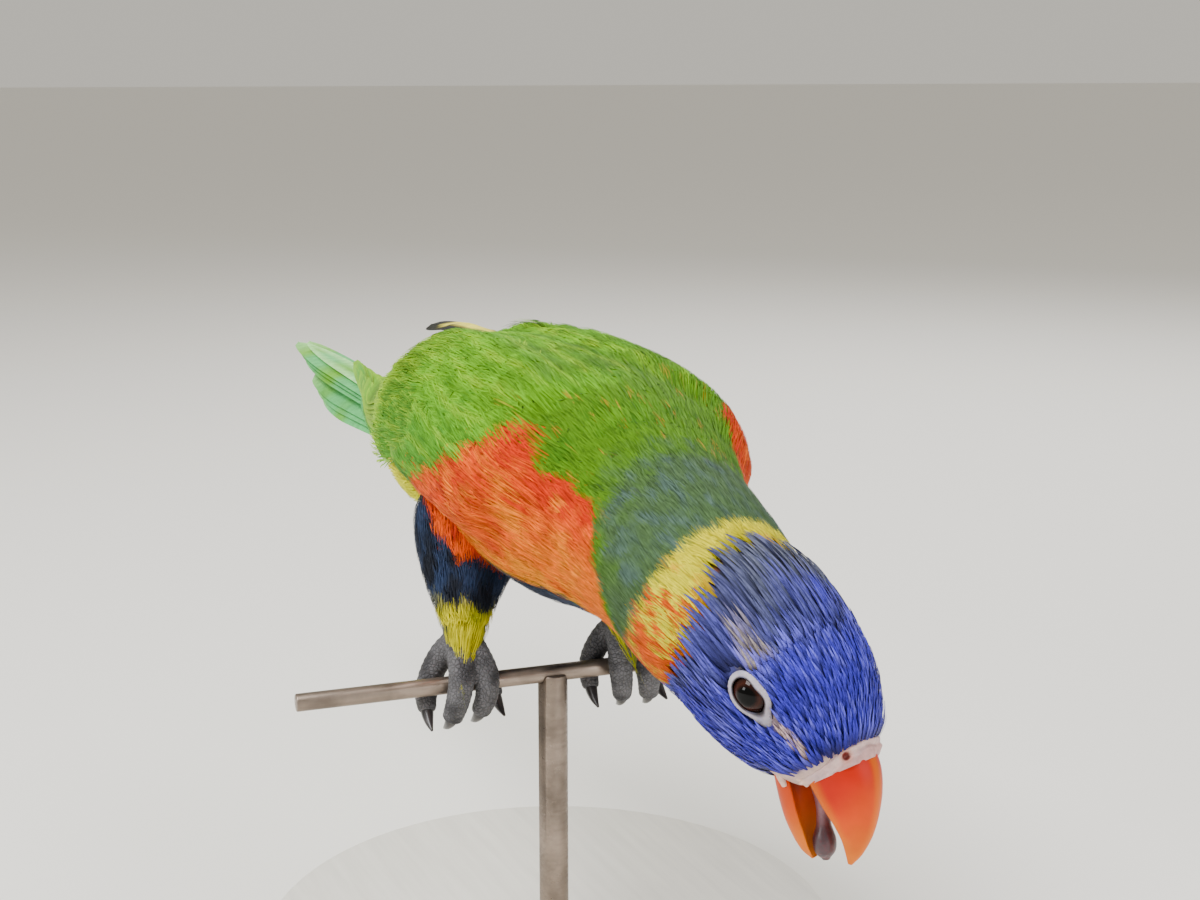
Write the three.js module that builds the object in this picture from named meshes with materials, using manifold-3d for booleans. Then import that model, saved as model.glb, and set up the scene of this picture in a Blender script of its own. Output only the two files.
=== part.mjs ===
// A life-size rainbow lorikeet, still, gripping a short cut length of steel wire on a plain display stand.
// The bird leans forward over the wire, body level, neck stretched, head turned down and to its left.
// Millimetres, +Z up, +X the way the bird's body points, +Y its left.
// The origin is the centre of the base's underside.
import * as THREE from "three";
import { mergeVertices } from "three/addons/utils/BufferGeometryUtils.js";
import Module from "manifold-3d";

const wasm = await Module();
wasm.setup();

// Driving dimensions
const GAP = 0.3; // between neighbouring pieces
const SLIVER = 0.06; // faces that move the surface by less than this are merged
const WIRE_RADIUS = 1.75;
const WIRE_LENGTH = 104;
const WIRE_Z = 1.8; // its axis above the bird frame's origin
const WIRE_TURN = THREE.MathUtils.degToRad(-5.5); // the wire isn't quite square to the body
const WIRE_MIDDLE_Y = -6; // the feet stand a little to the right of the body's middle
const PERCH_HEIGHT = 72; // wire's axis above the floor
const PERCH_X = 16; // wire's axis ahead of the base's centre
const BASE_RADIUS = 62;
const BASE_THICK = 9;
const BASE_CHAMFER = 1.2;
const ROD_RADIUS = 3;
const EYE_RADIUS = 3.9;
const BODY_SIDES = 22;
const BODY_STEPS = 2.5; // rings from one station to the next

// Colours, roughness and metalness
const finish = (color, roughness, metalness = 0) =>
  new THREE.MeshStandardMaterial({ color, roughness, metalness });
const GREEN = finish("#4d8f2f", 0.8);
const DARK_GREEN = finish("#3f5c45", 0.85);
const BLUE = finish("#3a46a8", 0.8);
const THIGH_YELLOW = finish("#a9a51e", 0.85);
const BEAK_ORANGE = finish("#ee6a1d", 0.35);
const CERE_PINK = finish("#d9b5ae", 0.55);
const TONGUE_DARK = finish("#5a4650", 0.45);
const EYE_DARK = finish("#1a1412", 0.08);
const SKIN_GREY = finish("#85858c", 0.75);
const CLAW_DARK = finish("#2f2d2f", 0.4);
const STEEL = finish("#5b544c", 0.4, 0.9);
const BASE_PAINT = finish("#d8d5cd", 0.6);

const at = (x, y, z) => new THREE.Vector3(x, y, z);

// Booleans

// A closed geometry as a solid, turned to face out if it faces in.
function solidOf(geometry) {
  const plain = geometry.clone();
  plain.deleteAttribute("normal");
  plain.deleteAttribute("uv");
  const merged = mergeVertices(plain, 1e-4);
  const vertProperties = new Float32Array(merged.attributes.position.array);
  const triVerts = new Uint32Array(merged.index.array);
  const make = () => new wasm.Manifold(new wasm.Mesh({ numProp: 3, vertProperties, triVerts }));
  const made = make();
  if (made.volume() > 0) return made;
  for (let i = 0; i < triVerts.length; i += 3) {
    [triVerts[i + 1], triVerts[i + 2]] = [triVerts[i + 2], triVerts[i + 1]];
  }
  return make();
}

// The largest closed body of a solid.
const largest = (solid) =>
  solid.decompose().reduce((best, s) => (s.volume() > best.volume() ? s : best));

const joined = (solids) => solids.reduce((sum, s) => sum.add(s));

function meshOf(name, solid, material) {
  const m = largest(solid.simplify(SLIVER)).getMesh();
  const places = new Float32Array(m.numVert * 3);
  for (let i = 0; i < m.numVert; i++) {
    places.set(m.vertProperties.subarray(i * m.numProp, i * m.numProp + 3), i * 3);
  }
  const geometry = new THREE.BufferGeometry();
  geometry.setAttribute("position", new THREE.BufferAttribute(places, 3));
  geometry.setIndex(new THREE.BufferAttribute(new Uint32Array(m.triVerts), 1));
  geometry.computeVertexNormals();
  const mesh = new THREE.Mesh(geometry, material);
  mesh.name = name;
  return mesh;
}

// Lofts

// A closed skin over rings of points, all of one count, with a fan over each end.
function loft(rings) {
  const count = rings[0].length;
  const places = [];
  rings.flat().forEach((p) => places.push(p.x, p.y, p.z));
  const faces = [];
  for (let r = 0; r < rings.length - 1; r++) {
    for (let i = 0; i < count; i++) {
      const a = r * count + i;
      const b = r * count + ((i + 1) % count);
      faces.push(a, b, b + count, a, b + count, a + count);
    }
  }
  [rings[0], rings[rings.length - 1]].forEach((ring, end) => {
    const middle = ring.reduce((sum, p) => sum.add(p), at(0, 0, 0)).divideScalar(count);
    const hub = places.length / 3;
    places.push(middle.x, middle.y, middle.z);
    const first = end ? (rings.length - 1) * count : 0;
    for (let i = 0; i < count; i++) {
      const a = first + i;
      const b = first + ((i + 1) % count);
      faces.push(...(end ? [a, b, hub] : [b, a, hub]));
    }
  });
  const geometry = new THREE.BufferGeometry();
  geometry.setAttribute("position", new THREE.Float32BufferAttribute(places, 3));
  geometry.setIndex(faces);
  return solidOf(geometry);
}

// A smooth value at t stations along a list.
function smooth(values, t) {
  const last = values.length - 1;
  const i = THREE.MathUtils.clamp(Math.floor(t), 0, last - 1);
  const u = t - i;
  const b = values[i];
  const c = values[i + 1];
  const a = values[i - 1] ?? 2 * b - c;
  const d = values[i + 2] ?? 2 * c - b;
  return (
    0.5 *
    (2 * b + (c - a) * u + (2 * a - 5 * b + 4 * c - d) * u * u + (3 * b - a - 3 * c + d) * u ** 3)
  );
}

const smoothPoint = (points, t) => at(...[0, 1, 2].map((k) => smooth(points.map((p) => p[k]), t)));

// A tube of round or oval rings along points, each [x, y, z, radius].
function tube(points, sides = 8, steps = 2) {
  const rings = [];
  const total = (points.length - 1) * steps;
  for (let k = 0; k <= total; k++) {
    const t = k / steps;
    const middle = smoothPoint(points, t);
    const radius = smooth(points.map((p) => p[3]), t);
    const ahead = smoothPoint(points, t + 0.05).sub(smoothPoint(points, t - 0.05)).normalize();
    const side = at(0.21, 0.97, 0.11).cross(ahead).normalize();
    const up = ahead.clone().cross(side);
    rings.push(
      Array.from({ length: sides }, (_, i) => {
        const a = (2 * Math.PI * i) / sides;
        return middle
          .clone()
          .addScaledVector(side, radius * Math.cos(a))
          .addScaledVector(up, radius * Math.sin(a));
      }),
    );
  }
  return loft(rings);
}

const ball = (centre, radius, around = 12, high = 8) =>
  solidOf(new THREE.SphereGeometry(radius, around, high).translate(centre.x, centre.y, centre.z));

// Head frame: forward through the beak's root, up through the crown, left
const HEAD_CENTRE = at(77.2, 0.6, 24.6);
const HEAD_FORWARD = at(0.693, 0.251, -0.675).normalize();
const HEAD_LEFT = at(0.605, 0.305, 0.735).cross(HEAD_FORWARD).normalize();
const HEAD_UP = HEAD_FORWARD.clone().cross(HEAD_LEFT);
const inHead = (forward, up, left = 0) =>
  HEAD_CENTRE.clone()
    .addScaledVector(HEAD_FORWARD, forward)
    .addScaledVector(HEAD_UP, up)
    .addScaledVector(HEAD_LEFT, left);

// Body, from the tail's root to the face: middle of each section, which way is up there,
// half its width, and its height above and below the middle
const headStation = (forward, up, wide, above, below) => {
  const p = inHead(forward, up);
  return { middle: [p.x, p.y, p.z], up: HEAD_UP.toArray(), wide, above, below };
};
const BODY = [
  { middle: [-104, -2, 36.5], up: [0, 0, 1], wide: 8, above: 5, below: 5 },
  { middle: [-92, -2, 37.5], up: [0, 0, 1], wide: 12.5, above: 9, below: 8.5 },
  { middle: [-74, -1, 39.5], up: [0, 0, 1], wide: 17, above: 15, below: 14 },
  { middle: [-52, 0, 42], up: [0, 0, 1], wide: 22, above: 21, below: 19.5 },
  { middle: [-28, 1, 43.5], up: [0, 0, 1], wide: 25.5, above: 22.5, below: 23.5 },
  { middle: [-5, 0.5, 43.5], up: [0, 0, 1], wide: 26.5, above: 22.6, below: 24.5 },
  { middle: [14, 0, 42.5], up: [0, 0, 1], wide: 25.5, above: 22.2, below: 23.5 },
  { middle: [28, -0.6, 40.5], up: [0, 0, 1], wide: 21.4, above: 20, below: 20 },
  { middle: [40, -1.5, 38.5], up: [0.08, 0.02, 0.98], wide: 17.6, above: 18, below: 17.5 },
  { middle: [52, -2.2, 36], up: [0.22, 0.08, 0.97], wide: 16.4, above: 16.5, below: 16 },
  { middle: [63, -2.6, 32.5], up: [0.42, 0.17, 0.88], wide: 15.6, above: 15.6, below: 15.2 },
  headStation(-8.5, 0, 14.9, 15.6, 15.6),
  headStation(0, 0, 13.9, 15.8, 14.8),
  headStation(7.5, -0.3, 12.1, 14.6, 12.4),
  headStation(13.5, -0.8, 9.6, 11, 9),
  headStation(17, -1.2, 7, 7.4, 6),
];
const NECK_CUT = 7.7; // stations along the body
const HEAD_CUT = 10.3;

function bodyFrame(t) {
  const middles = BODY.map((s) => s.middle);
  const ahead = smoothPoint(middles, t + 0.02).sub(smoothPoint(middles, t - 0.02)).normalize();
  const lean = smoothPoint(BODY.map((s) => s.up), t);
  const left = lean.cross(ahead).normalize();
  return { middle: smoothPoint(middles, t), ahead, left, up: ahead.clone().cross(left) };
}

// A point on the body: t stations along, turned by angle from the top towards the bird's left.
function onBody(t, angle, grow = 0) {
  const { middle, left, up } = bodyFrame(t);
  const tall = smooth(BODY.map((s) => (Math.cos(angle) > 0 ? s.above : s.below)), t);
  const wide = smooth(BODY.map((s) => s.wide), t);
  return middle
    .addScaledVector(left, (wide + grow) * Math.sin(angle))
    .addScaledVector(up, (tall + grow) * Math.cos(angle));
}

function bodySolid(grow = 0) {
  const total = Math.round((BODY.length - 1) * BODY_STEPS);
  const rings = [];
  for (let k = 0; k <= total; k++) {
    const t = ((BODY.length - 1) * k) / total;
    rings.push(
      Array.from({ length: BODY_SIDES }, (_, i) => onBody(t, (2 * Math.PI * i) / BODY_SIDES, grow)),
    );
  }
  return loft(rings);
}

// A thin plate square to the body at a station, which parts it from its neighbour.
function cutAcross(t, size = 56) {
  const { middle, ahead, left, up } = bodyFrame(t);
  const plate = new THREE.BoxGeometry(GAP, size, size);
  plate.applyMatrix4(new THREE.Matrix4().makeBasis(ahead, left, up).setPosition(middle));
  return solidOf(plate);
}

// Eyes, in dark balls that show through a round opening with a raised lid
const EYE_FORWARD = 2.2;
const EYE_UP = 3.0;
const EYE_SIDE = 10.3; // the ball's middle from the head's middle plane
const LID_RADIUS = 3.35;
const LID_THICK = 0.85;
const LID_SIDE = 13.1;
const eyeBall = (side, grow = 0) =>
  ball(inHead(EYE_FORWARD, EYE_UP, side * EYE_SIDE), EYE_RADIUS + grow);
function lid(side) {
  const ring = new THREE.TorusGeometry(LID_RADIUS, LID_THICK, 5, 14);
  const middle = inHead(EYE_FORWARD, EYE_UP, side * LID_SIDE);
  const outward = HEAD_LEFT.clone()
    .multiplyScalar(side)
    .addScaledVector(HEAD_FORWARD, 0.22)
    .addScaledVector(HEAD_UP, 0.12)
    .normalize();
  const turn = new THREE.Quaternion().setFromUnitVectors(at(0, 0, 1), outward);
  ring.applyMatrix4(new THREE.Matrix4().makeRotationFromQuaternion(turn).setPosition(middle));
  return solidOf(ring);
}

// Beak. Each station has the ridge and the cutting edge, as [forward, up] in the head, and half the width.
const UPPER_BEAK = [
  { ridge: [15.3, 6.9], edge: [12.5, -1.6], wide: 6.3 },
  { ridge: [18.2, 6.6], edge: [16.2, -2.4], wide: 6.0 },
  { ridge: [21.2, 5.7], edge: [18.8, -3.1], wide: 5.5 },
  { ridge: [24.1, 3.6], edge: [21.4, -4.0], wide: 4.7 },
  { ridge: [26.7, 0.6], edge: [24.1, -4.9], wide: 3.6 },
  { ridge: [28.7, -2.6], edge: [26.5, -6.2], wide: 2.4 },
  { ridge: [29.9, -6.0], edge: [28.5, -8.0], wide: 1.2 },
  { ridge: [30.2, -9.0], edge: [29.7, -9.3], wide: 0.35 },
];
const LOWER_BEAK = [
  { ridge: [10.8, -9.4], edge: [11.6, -4.9], wide: 5.6 },
  { ridge: [13.7, -11.5], edge: [15.4, -6.2], wide: 5.4 },
  { ridge: [17.2, -13.4], edge: [18.8, -8.4], wide: 4.8 },
  { ridge: [20.5, -14.6], edge: [21.8, -10.4], wide: 3.8 },
  { ridge: [23.4, -15.1], edge: [24.1, -12.4], wide: 2.5 },
  { ridge: [25.6, -14.7], edge: [25.5, -14.1], wide: 0.9 },
];
const BEAK_ARCH = 11; // points over the arch from one cutting edge to the other
const BEAK_FLOOR = 5; // points across between the cutting edges

// A beak half: an arch from edge to edge over the ridge, closed by a floor hollowed towards the ridge.
function beakHalf(stations, hollow, grow = 0) {
  const rings = [];
  const total = (stations.length - 1) * 2;
  for (let k = 0; k <= total; k++) {
    const t = k / 2;
    const pick = (key, n) => smooth(stations.map((s) => s[key][n]), t);
    const wide = smooth(stations.map((s) => s.wide), t) + grow;
    const edge = new THREE.Vector2(pick("edge", 0), pick("edge", 1));
    const ridge = new THREE.Vector2(pick("ridge", 0), pick("ridge", 1));
    const rise = ridge.clone().sub(edge);
    const out = rise.clone().normalize().multiplyScalar(grow);
    ridge.add(out);
    edge.sub(out);
    rise.copy(ridge).sub(edge);
    const ring = [];
    for (let i = 0; i < BEAK_ARCH; i++) {
      const a = (Math.PI * i) / (BEAK_ARCH - 1);
      const high = Math.sin(a) ** 0.85;
      ring.push(inHead(edge.x + rise.x * high, edge.y + rise.y * high, wide * Math.cos(a)));
    }
    for (let i = 1; i <= BEAK_FLOOR; i++) {
      const across = (2 * i) / (BEAK_FLOOR + 1) - 1;
      const high = hollow * (1 - across * across);
      ring.push(inHead(edge.x + rise.x * high, edge.y + rise.y * high, wide * across * 0.92));
    }
    rings.push(ring);
  }
  return loft(rings);
}

// The cere: the soft bare band over the upper beak's root, with a nostril on each side of the ridge.
const CERE = [
  { ridge: [13.6, 8.4], edge: [10.5, -3.4], wide: 7.6 },
  { ridge: [16.0, 8.9], edge: [13.6, -3.9], wide: 7.6 },
  { ridge: [18.4, 8.6], edge: [16.6, -3.9], wide: 7.1 },
  { ridge: [19.6, 7.7], edge: [17.6, -3.4], wide: 6.3 },
];
const NOSTRIL = { forward: 18.3, up: 6.9, side: 3.6, radius: 0.75 };

const TONGUE = [
  [12.5, -4.4, 1.5],
  [16, -5.3, 1.3],
  [19.5, -6.9, 1.1],
  [22.3, -9.0, 1.2],
  [24.2, -10.6, 1.9],
  [25.8, -11.9, 1.7],
  [26.8, -12.6, 0.7],
].map(([forward, up, radius]) => [...inHead(forward, up), radius]);

// Feathers built as thin vanes

// A thin vane along a line of middles, each { middle, side, out, wide }.
function vane(line, thick) {
  return loft(
    line.map(({ middle, side, out, wide }) => {
      const point = (across, lift) =>
        middle.clone().addScaledVector(side, across * wide).addScaledVector(out, lift);
      return [point(1, 0), point(-1, 0), point(-1, -thick), point(1, -thick)];
    }),
  );
}

// Share of a feather's full width at u from its root to its tip.
const vaneWidth = (u, tip = 0.2) =>
  Math.min(1, 0.55 + 1.6 * u) * Math.max(tip, 1 - Math.max(0, u - 0.6) ** 2 * 5);

// Folded wing: rows from the wrist to the tip. The first rows lie on the body, at a station, at three
// angles from the top, and lifted by a height. The last rows are free, with y as for the left wing.
const WING_ROWS = [
  { t: 6.25, low: 90, mid: 68, top: 44, lift: [1.2, 2.0, 2.2] },
  { t: 5.95, low: 102, mid: 64, top: 27, lift: [1.4, 2.6, 2.0] },
  { t: 5.4, low: 106, mid: 60, top: 17, lift: [1.4, 2.8, 1.6] },
  { t: 4.6, low: 106, mid: 57, top: 12, lift: [1.4, 2.6, 1.2] },
  { t: 3.8, low: 102, mid: 55, top: 11, lift: [1.8, 2.6, 1.4] },
  { t: 3.0, low: 96, mid: 54, top: 12, lift: [2.2, 2.8, 1.8] },
  { low: [-73, 18.5, 40], mid: [-74, 16, 49.5], top: [-72, 5.5, 56] },
  { low: [-92, 13.5, 43], mid: [-93, 12, 49.5], top: [-91, 5.5, 53.5] },
  { low: [-109, 10.5, 47], mid: [-110, 9.5, 50.5], top: [-109, 6, 51.8] },
  { low: [-124, 8.5, 49.3], mid: [-124, 8.2, 50.5], top: [-124, 7.4, 51] },
];
const REAR_Y = -1.5; // the tail's root is a little to the right of the feet's middle
// How far each wing's tip is shifted: the left one is held off and higher
const WING_TIP = { left: { out: 5, up: 5 }, right: { out: 0, up: -1 } };
const WING_LAST = WING_ROWS.length - 1;

// A point on the wing: s from the wrist to the tip, v from the lower edge to the upper edge.
function onWing(side, s, v) {
  const t = s * WING_LAST;
  const shift = side > 0 ? WING_TIP.left : WING_TIP.right;
  const spot = (key, n) =>
    smoothPoint(
      WING_ROWS.map((row) => {
        if (row.t === undefined) return [row[key][0], REAR_Y + side * row[key][1], row[key][2]];
        return onBody(row.t, side * THREE.MathUtils.degToRad(row[key]), row.lift[n]).toArray();
      }),
      t,
    );
  const low = spot("low", 0);
  const top = spot("top", 2);
  const bow = spot("mid", 1).multiplyScalar(2).addScaledVector(low, -0.5).addScaledVector(top, -0.5);
  const p = low.multiplyScalar((1 - v) ** 2).addScaledVector(bow, 2 * v * (1 - v));
  p.addScaledVector(top, v * v);
  p.y += side * shift.out * s ** 3;
  p.z += shift.up * s ** 3;
  return p;
}

function wingFrame(side, s, v) {
  const middle = onWing(side, s, v);
  const along = onWing(side, s + 0.01, v).sub(onWing(side, s - 0.01, v)).normalize();
  const across = onWing(side, s, v + 0.02).sub(onWing(side, s, v - 0.02)).normalize();
  const out = along.clone().cross(across).multiplyScalar(side).normalize();
  return { middle, along, side: along.clone().cross(out).multiplyScalar(side), out };
}

const WING_ACROSS = 4;
const WING_ALONG = 8;
const WING_CORE_END = 0.8; // share of the wing's length that its core reaches

// The wing's core: a shell that lies on the body under the vanes.
function wingCore(side) {
  const rings = [];
  for (let k = 0; k <= WING_ALONG; k++) {
    const s = (WING_CORE_END * k) / WING_ALONG;
    const thick = THREE.MathUtils.lerp(5, 1.0, Math.min(1, s / 0.65));
    const over = [];
    const under = [];
    for (let i = 0; i <= WING_ACROSS; i++) {
      const frame = wingFrame(side, s, i / WING_ACROSS);
      over.push(frame.middle.clone());
      under.unshift(frame.middle.clone().addScaledVector(frame.out, -thick));
    }
    rings.push([...over, ...under]);
  }
  return loft(rings);
}

// Tiers of the wing's feathers: how many, where the roots and tips lie, how wide, how far over the core.
// A place is [s, v] of the tier's lowest feather and of its highest one.
const tier = (count, root, tip, wide, over, steps) => ({ count, root, tip, wide, over, steps });
const WING_TIERS = [
  tier(6, [[0.4, 0.1], [0.42, 0.34]], [[1.0, 0.3], [0.8, 0.5]], [4.0, 5.6], 0.3, 4),
  tier(6, [[0.34, 0.14], [0.3, 0.96]], [[0.68, 0.16], [0.75, 0.86]], [6.4, 6.6], 0.9, 3),
  tier(7, [[0.22, 0.02], [0.2, 0.98]], [[0.46, 0.02], [0.46, 0.94]], [5.6, 5.8], 1.5, 3),
  tier(7, [[0.12, 0.05], [0.12, 0.97]], [[0.31, 0.04], [0.32, 0.95]], [5.2, 5.4], 1.9, 3),
  tier(5, [[0.03, 0.12], [0.03, 0.9]], [[0.18, 0.08], [0.19, 0.93]], [5.6, 5.6], 1.9, 2),
];
const VANE_THICK = 0.8;
const VANE_TILT = 0.14; // each vane's lower edge stands over its lower neighbour
const ROOT_SUNK = 1;

function wingVanes(side) {
  const vanes = [];
  WING_TIERS.forEach(({ count, root, tip, wide, over, steps }) => {
    for (let i = 0; i < count; i++) {
      const share = i / (count - 1);
      const mix = (pair, n) => THREE.MathUtils.lerp(pair[0][n], pair[1][n], share);
      const full = THREE.MathUtils.lerp(wide[0], wide[1], share);
      const line = [];
      for (let k = 0; k <= steps; k++) {
        const u = k / steps;
        const s = THREE.MathUtils.lerp(mix(root, 0), mix(tip, 0), u);
        const v = THREE.MathUtils.lerp(mix(root, 1), mix(tip, 1), u);
        const frame = wingFrame(side, s, v);
        const lift = THREE.MathUtils.lerp(-ROOT_SUNK, over, Math.min(1, u * 1.6));
        line.push({
          middle: frame.middle.addScaledVector(frame.out, lift),
          side: frame.side.addScaledVector(frame.out, VANE_TILT).normalize(),
          out: frame.out,
          wide: full * vaneWidth(u),
        });
      }
      vanes.push(vane(line, VANE_THICK));
    }
  });
  return vanes;
}

// Tail: six pairs of long feathers, the middle pair longest and on top, the outer ones lower and rolled
const TAIL_ROOT_X = -90;
const TAIL_PAIRS = [
  { length: 118, spread: 1.8, drop: 0, roll: 6 },
  { length: 107, spread: 3.4, drop: 0.9, roll: 13 },
  { length: 95, spread: 5.1, drop: 2.0, roll: 21 },
  { length: 83, spread: 6.8, drop: 3.3, roll: 29 },
  { length: 71, spread: 8.4, drop: 4.7, roll: 37 },
  { length: 59, spread: 9.8, drop: 6.2, roll: 45 },
];
const TAIL_FEATHER_WIDE = 5.2;
const TAIL_STEPS = 4;

function tailVane(side, pair, n) {
  const line = [];
  for (let k = 0; k <= TAIL_STEPS; k++) {
    const u = k / TAIL_STEPS;
    const roll = THREE.MathUtils.degToRad(side * pair.roll);
    const x = TAIL_ROOT_X + 10 - (pair.length + 10) * u;
    const y = -2 + side * (pair.spread * (0.35 + 0.65 * u)) + 4 * u;
    const z = 38.5 - pair.drop * (0.4 + 0.6 * u) - 0.1 * n + 1.5 * u;
    line.push({
      middle: at(x, y, z),
      side: at(0, Math.cos(roll), -Math.sin(roll)),
      out: at(0, Math.sin(roll), Math.cos(roll)),
      wide: TAIL_FEATHER_WIDE * vaneWidth(u, 0.18),
    });
  }
  return vane(line, VANE_THICK);
}

// The tail's root: the coverts that carry on the body's taper round the feathers' roots.
function tailRoot() {
  const rings = [-80, -92, -104, -116, -126].map((x, k) => {
    const wide = [13.5, 12, 9.4, 6.4, 3][k];
    const tall = [10, 8, 5.6, 3.4, 1.5][k];
    return Array.from({ length: 16 }, (_, i) => {
      const a = (2 * Math.PI * i) / 16;
      return at(x, -2 + wide * Math.sin(a), 37.2 + tall * Math.cos(a));
    });
  });
  return loft(rings);
}

// Legs and feet. In a foot, heights are above the wire's axis and y runs from its middle.
const FEET = {
  right: { x: -2.1, y: -24, outward: -1 },
  left: { x: 1.4, y: 9.6, outward: 1 },
};
// Each thigh's path, [x, y, z, radius] in the bird's frame
const THIGH = {
  right: [
    [-17, -14, 37, 11.5],
    [-15, -17.2, 30, 11.5],
    [-10, -20.4, 23, 8.8],
    [-5.4, -22.6, 17, 5.8],
    [-3.6, -23.4, 13, 4.4],
  ],
  left: [
    [-16, 13, 37, 12],
    [-13, 14, 30, 12],
    [-8, 12.8, 23, 9],
    [-1.6, 11, 17, 5.8],
    [0.2, 9.9, 13, 4.4],
  ],
};
// Paths within a foot, [forward, outward, up, radius]. Two toes run ahead of the wire and two behind it.
const TARSUS = [[-3.4, 0, 13.2, 3.4], [-2.4, 0, 10.4, 3.4], [-1.2, 0, 7.4, 3.3]];
const TOES = [
  [[1.7, 1.5, 5.7, 2.7], [4.0, 2.3, 2.2, 2.5], [4.3, 3.2, -1.8, 2.3], [3.0, 3.9, -5.6, 2.0]],
  [[1.7, -2.0, 5.7, 2.6], [3.9, -3.0, 2.2, 2.4], [4.2, -2.8, -1.8, 2.2], [2.9, -2.1, -5.2, 1.9]],
  [[-3.7, 3.4, 5.2, 2.6], [-4.2, 5.6, 1.4, 2.4], [-3.7, 7.0, -2.4, 2.2], [-1.8, 7.6, -4.9, 1.8]],
  [[-3.6, -3.4, 5.2, 2.5], [-4.1, -5.6, 1.4, 2.3], [-3.5, -6.6, -2.0, 2.0], [-2.0, -6.9, -4.2, 1.7]],
].map((toe) => [[-1.6, Math.sign(toe[0][1]) * 0.8, 8.2, 3.0], ...toe]);
const CLAW = { along: [0, 1.4, 2.7, 3.6], hooked: [0, 0.3, 1.2, 2.6], thick: [1.35, 1.2, 0.8, 0.25] };

const inFoot = (foot, [forward, outward, up, radius]) => [
  foot.x + forward,
  foot.y + foot.outward * outward,
  WIRE_Z + up,
  radius,
];

// A claw that carries on from a toe's end and hooks back under the wire.
function claw(toe) {
  const [before, end] = toe.slice(-2).map(([x, y, z]) => at(x, y, z));
  const ahead = end.clone().sub(before).normalize();
  const hook = at(end.x > before.x ? 1 : -1, 0, -0.15);
  const start = end.clone().addScaledVector(ahead, GAP);
  return CLAW.along.map((along, k) => [
    ...start.clone().addScaledVector(ahead, along).addScaledVector(hook, CLAW.hooked[k]),
    CLAW.thick[k],
  ]);
}

function wire(grow = 0) {
  const bar = new THREE.CylinderGeometry(WIRE_RADIUS + grow, WIRE_RADIUS + grow, WIRE_LENGTH, 20);
  bar.rotateZ(WIRE_TURN);
  bar.translate(0, WIRE_MIDDLE_Y, WIRE_Z);
  return solidOf(bar);
}

const thigh = (side, grow = 0) =>
  tube(THIGH[side].map(([x, y, z, radius]) => [x, y, z, radius + grow]), 12, 2);

function foot(side) {
  return joined([TARSUS, ...TOES].map((path) => tube(path.map((p) => inFoot(FEET[side], p)), 6, 2)));
}

// Stand: a round base, and a rod whose top is cut to a saddle for the wire
function standBase() {
  const r = BASE_RADIUS;
  const profile = [
    [0, 0],
    [r - BASE_CHAMFER / 2, 0],
    [r, BASE_CHAMFER / 2],
    [r, BASE_THICK - BASE_CHAMFER],
    [r - BASE_CHAMFER, BASE_THICK],
    [0, BASE_THICK],
  ].map(([x, y]) => new THREE.Vector2(x, y));
  return solidOf(new THREE.LatheGeometry(profile, 40).rotateX(Math.PI / 2));
}

function standRod() {
  const height = PERCH_HEIGHT - BASE_THICK - GAP;
  const rod = new THREE.CylinderGeometry(ROD_RADIUS, ROD_RADIUS, height, 20);
  rod.rotateX(Math.PI / 2);
  rod.translate(0, WIRE_MIDDLE_Y, WIRE_Z - height / 2);
  return solidOf(rod).subtract(wire(GAP));
}

// Assembly, in the bird's frame, whose origin is just under the wire's axis
const bird = new THREE.Group();
bird.position.set(PERCH_X, 0, PERCH_HEIGHT - WIRE_Z);
const add = (name, solid, material) => bird.add(meshOf(name, solid, material));

const whole = bodySolid();
const around = bodySolid(GAP);
const lids = joined([lid(1), lid(-1)]);
const eyeRoom = joined([eyeBall(1, GAP), eyeBall(-1, GAP)]);
const cuts = joined([cutAcross(NECK_CUT), cutAcross(HEAD_CUT)]);
const parted = whole.add(lids).subtract(eyeRoom).subtract(cuts);
const pieces = parted.decompose().filter((s) => s.volume() > 100);
pieces.sort((a, b) => a.boundingBox().min[0] - b.boundingBox().min[0]);
const tailSide = solidOf(new THREE.BoxGeometry(200, 200, 200).translate(TAIL_ROOT_X - 100, 0, 40));
const torsoSide = solidOf(new THREE.BoxGeometry(200, 200, 200).translate(TAIL_ROOT_X + GAP + 100, 0, 40));
const [torso, neck, head] = pieces;

const upperBeak = beakHalf(UPPER_BEAK, 0.16).subtract(around);
const upperRoom = beakHalf(UPPER_BEAK, 0.16, GAP).add(beakHalf(UPPER_BEAK, 0, GAP));
const lowerRoom = beakHalf(LOWER_BEAK, 0.45, GAP);
const nostril = (side) =>
  ball(inHead(NOSTRIL.forward, NOSTRIL.up, side * NOSTRIL.side), NOSTRIL.radius, 10, 6);
const nostrils = joined([nostril(1), nostril(-1)]);
const cere = beakHalf(CERE, 0).subtract(around).subtract(upperRoom).subtract(lowerRoom).subtract(nostrils);
const lowerBeak = beakHalf(LOWER_BEAK, 0.45).subtract(around);
const tongue = tube(TONGUE, 10, 2).subtract(around).subtract(upperRoom).subtract(lowerRoom);

add("torso", torso.intersect(torsoSide), GREEN);
add("neck", neck, DARK_GREEN);
add("head", head, BLUE);
add("cere", cere, CERE_PINK);
add("beak_upper", upperBeak, BEAK_ORANGE);
add("beak_lower", lowerBeak, BEAK_ORANGE);
add("tongue", tongue, TONGUE_DARK);
add("eye_left", eyeBall(1), EYE_DARK);
add("eye_right", eyeBall(-1), EYE_DARK);

[["left", 1], ["right", -1]].forEach(([name, side]) => {
  const wing = joined([wingCore(side), ...wingVanes(side)]).subtract(around).subtract(thigh(name, GAP));
  add("wing_" + name, wing, GREEN);
});

const tailVanes = TAIL_PAIRS.flatMap((pair, n) => [tailVane(1, pair, n), tailVane(-1, pair, n)]);
add("tail", joined([tailRoot(), ...tailVanes]).intersect(tailSide), GREEN);

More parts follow.
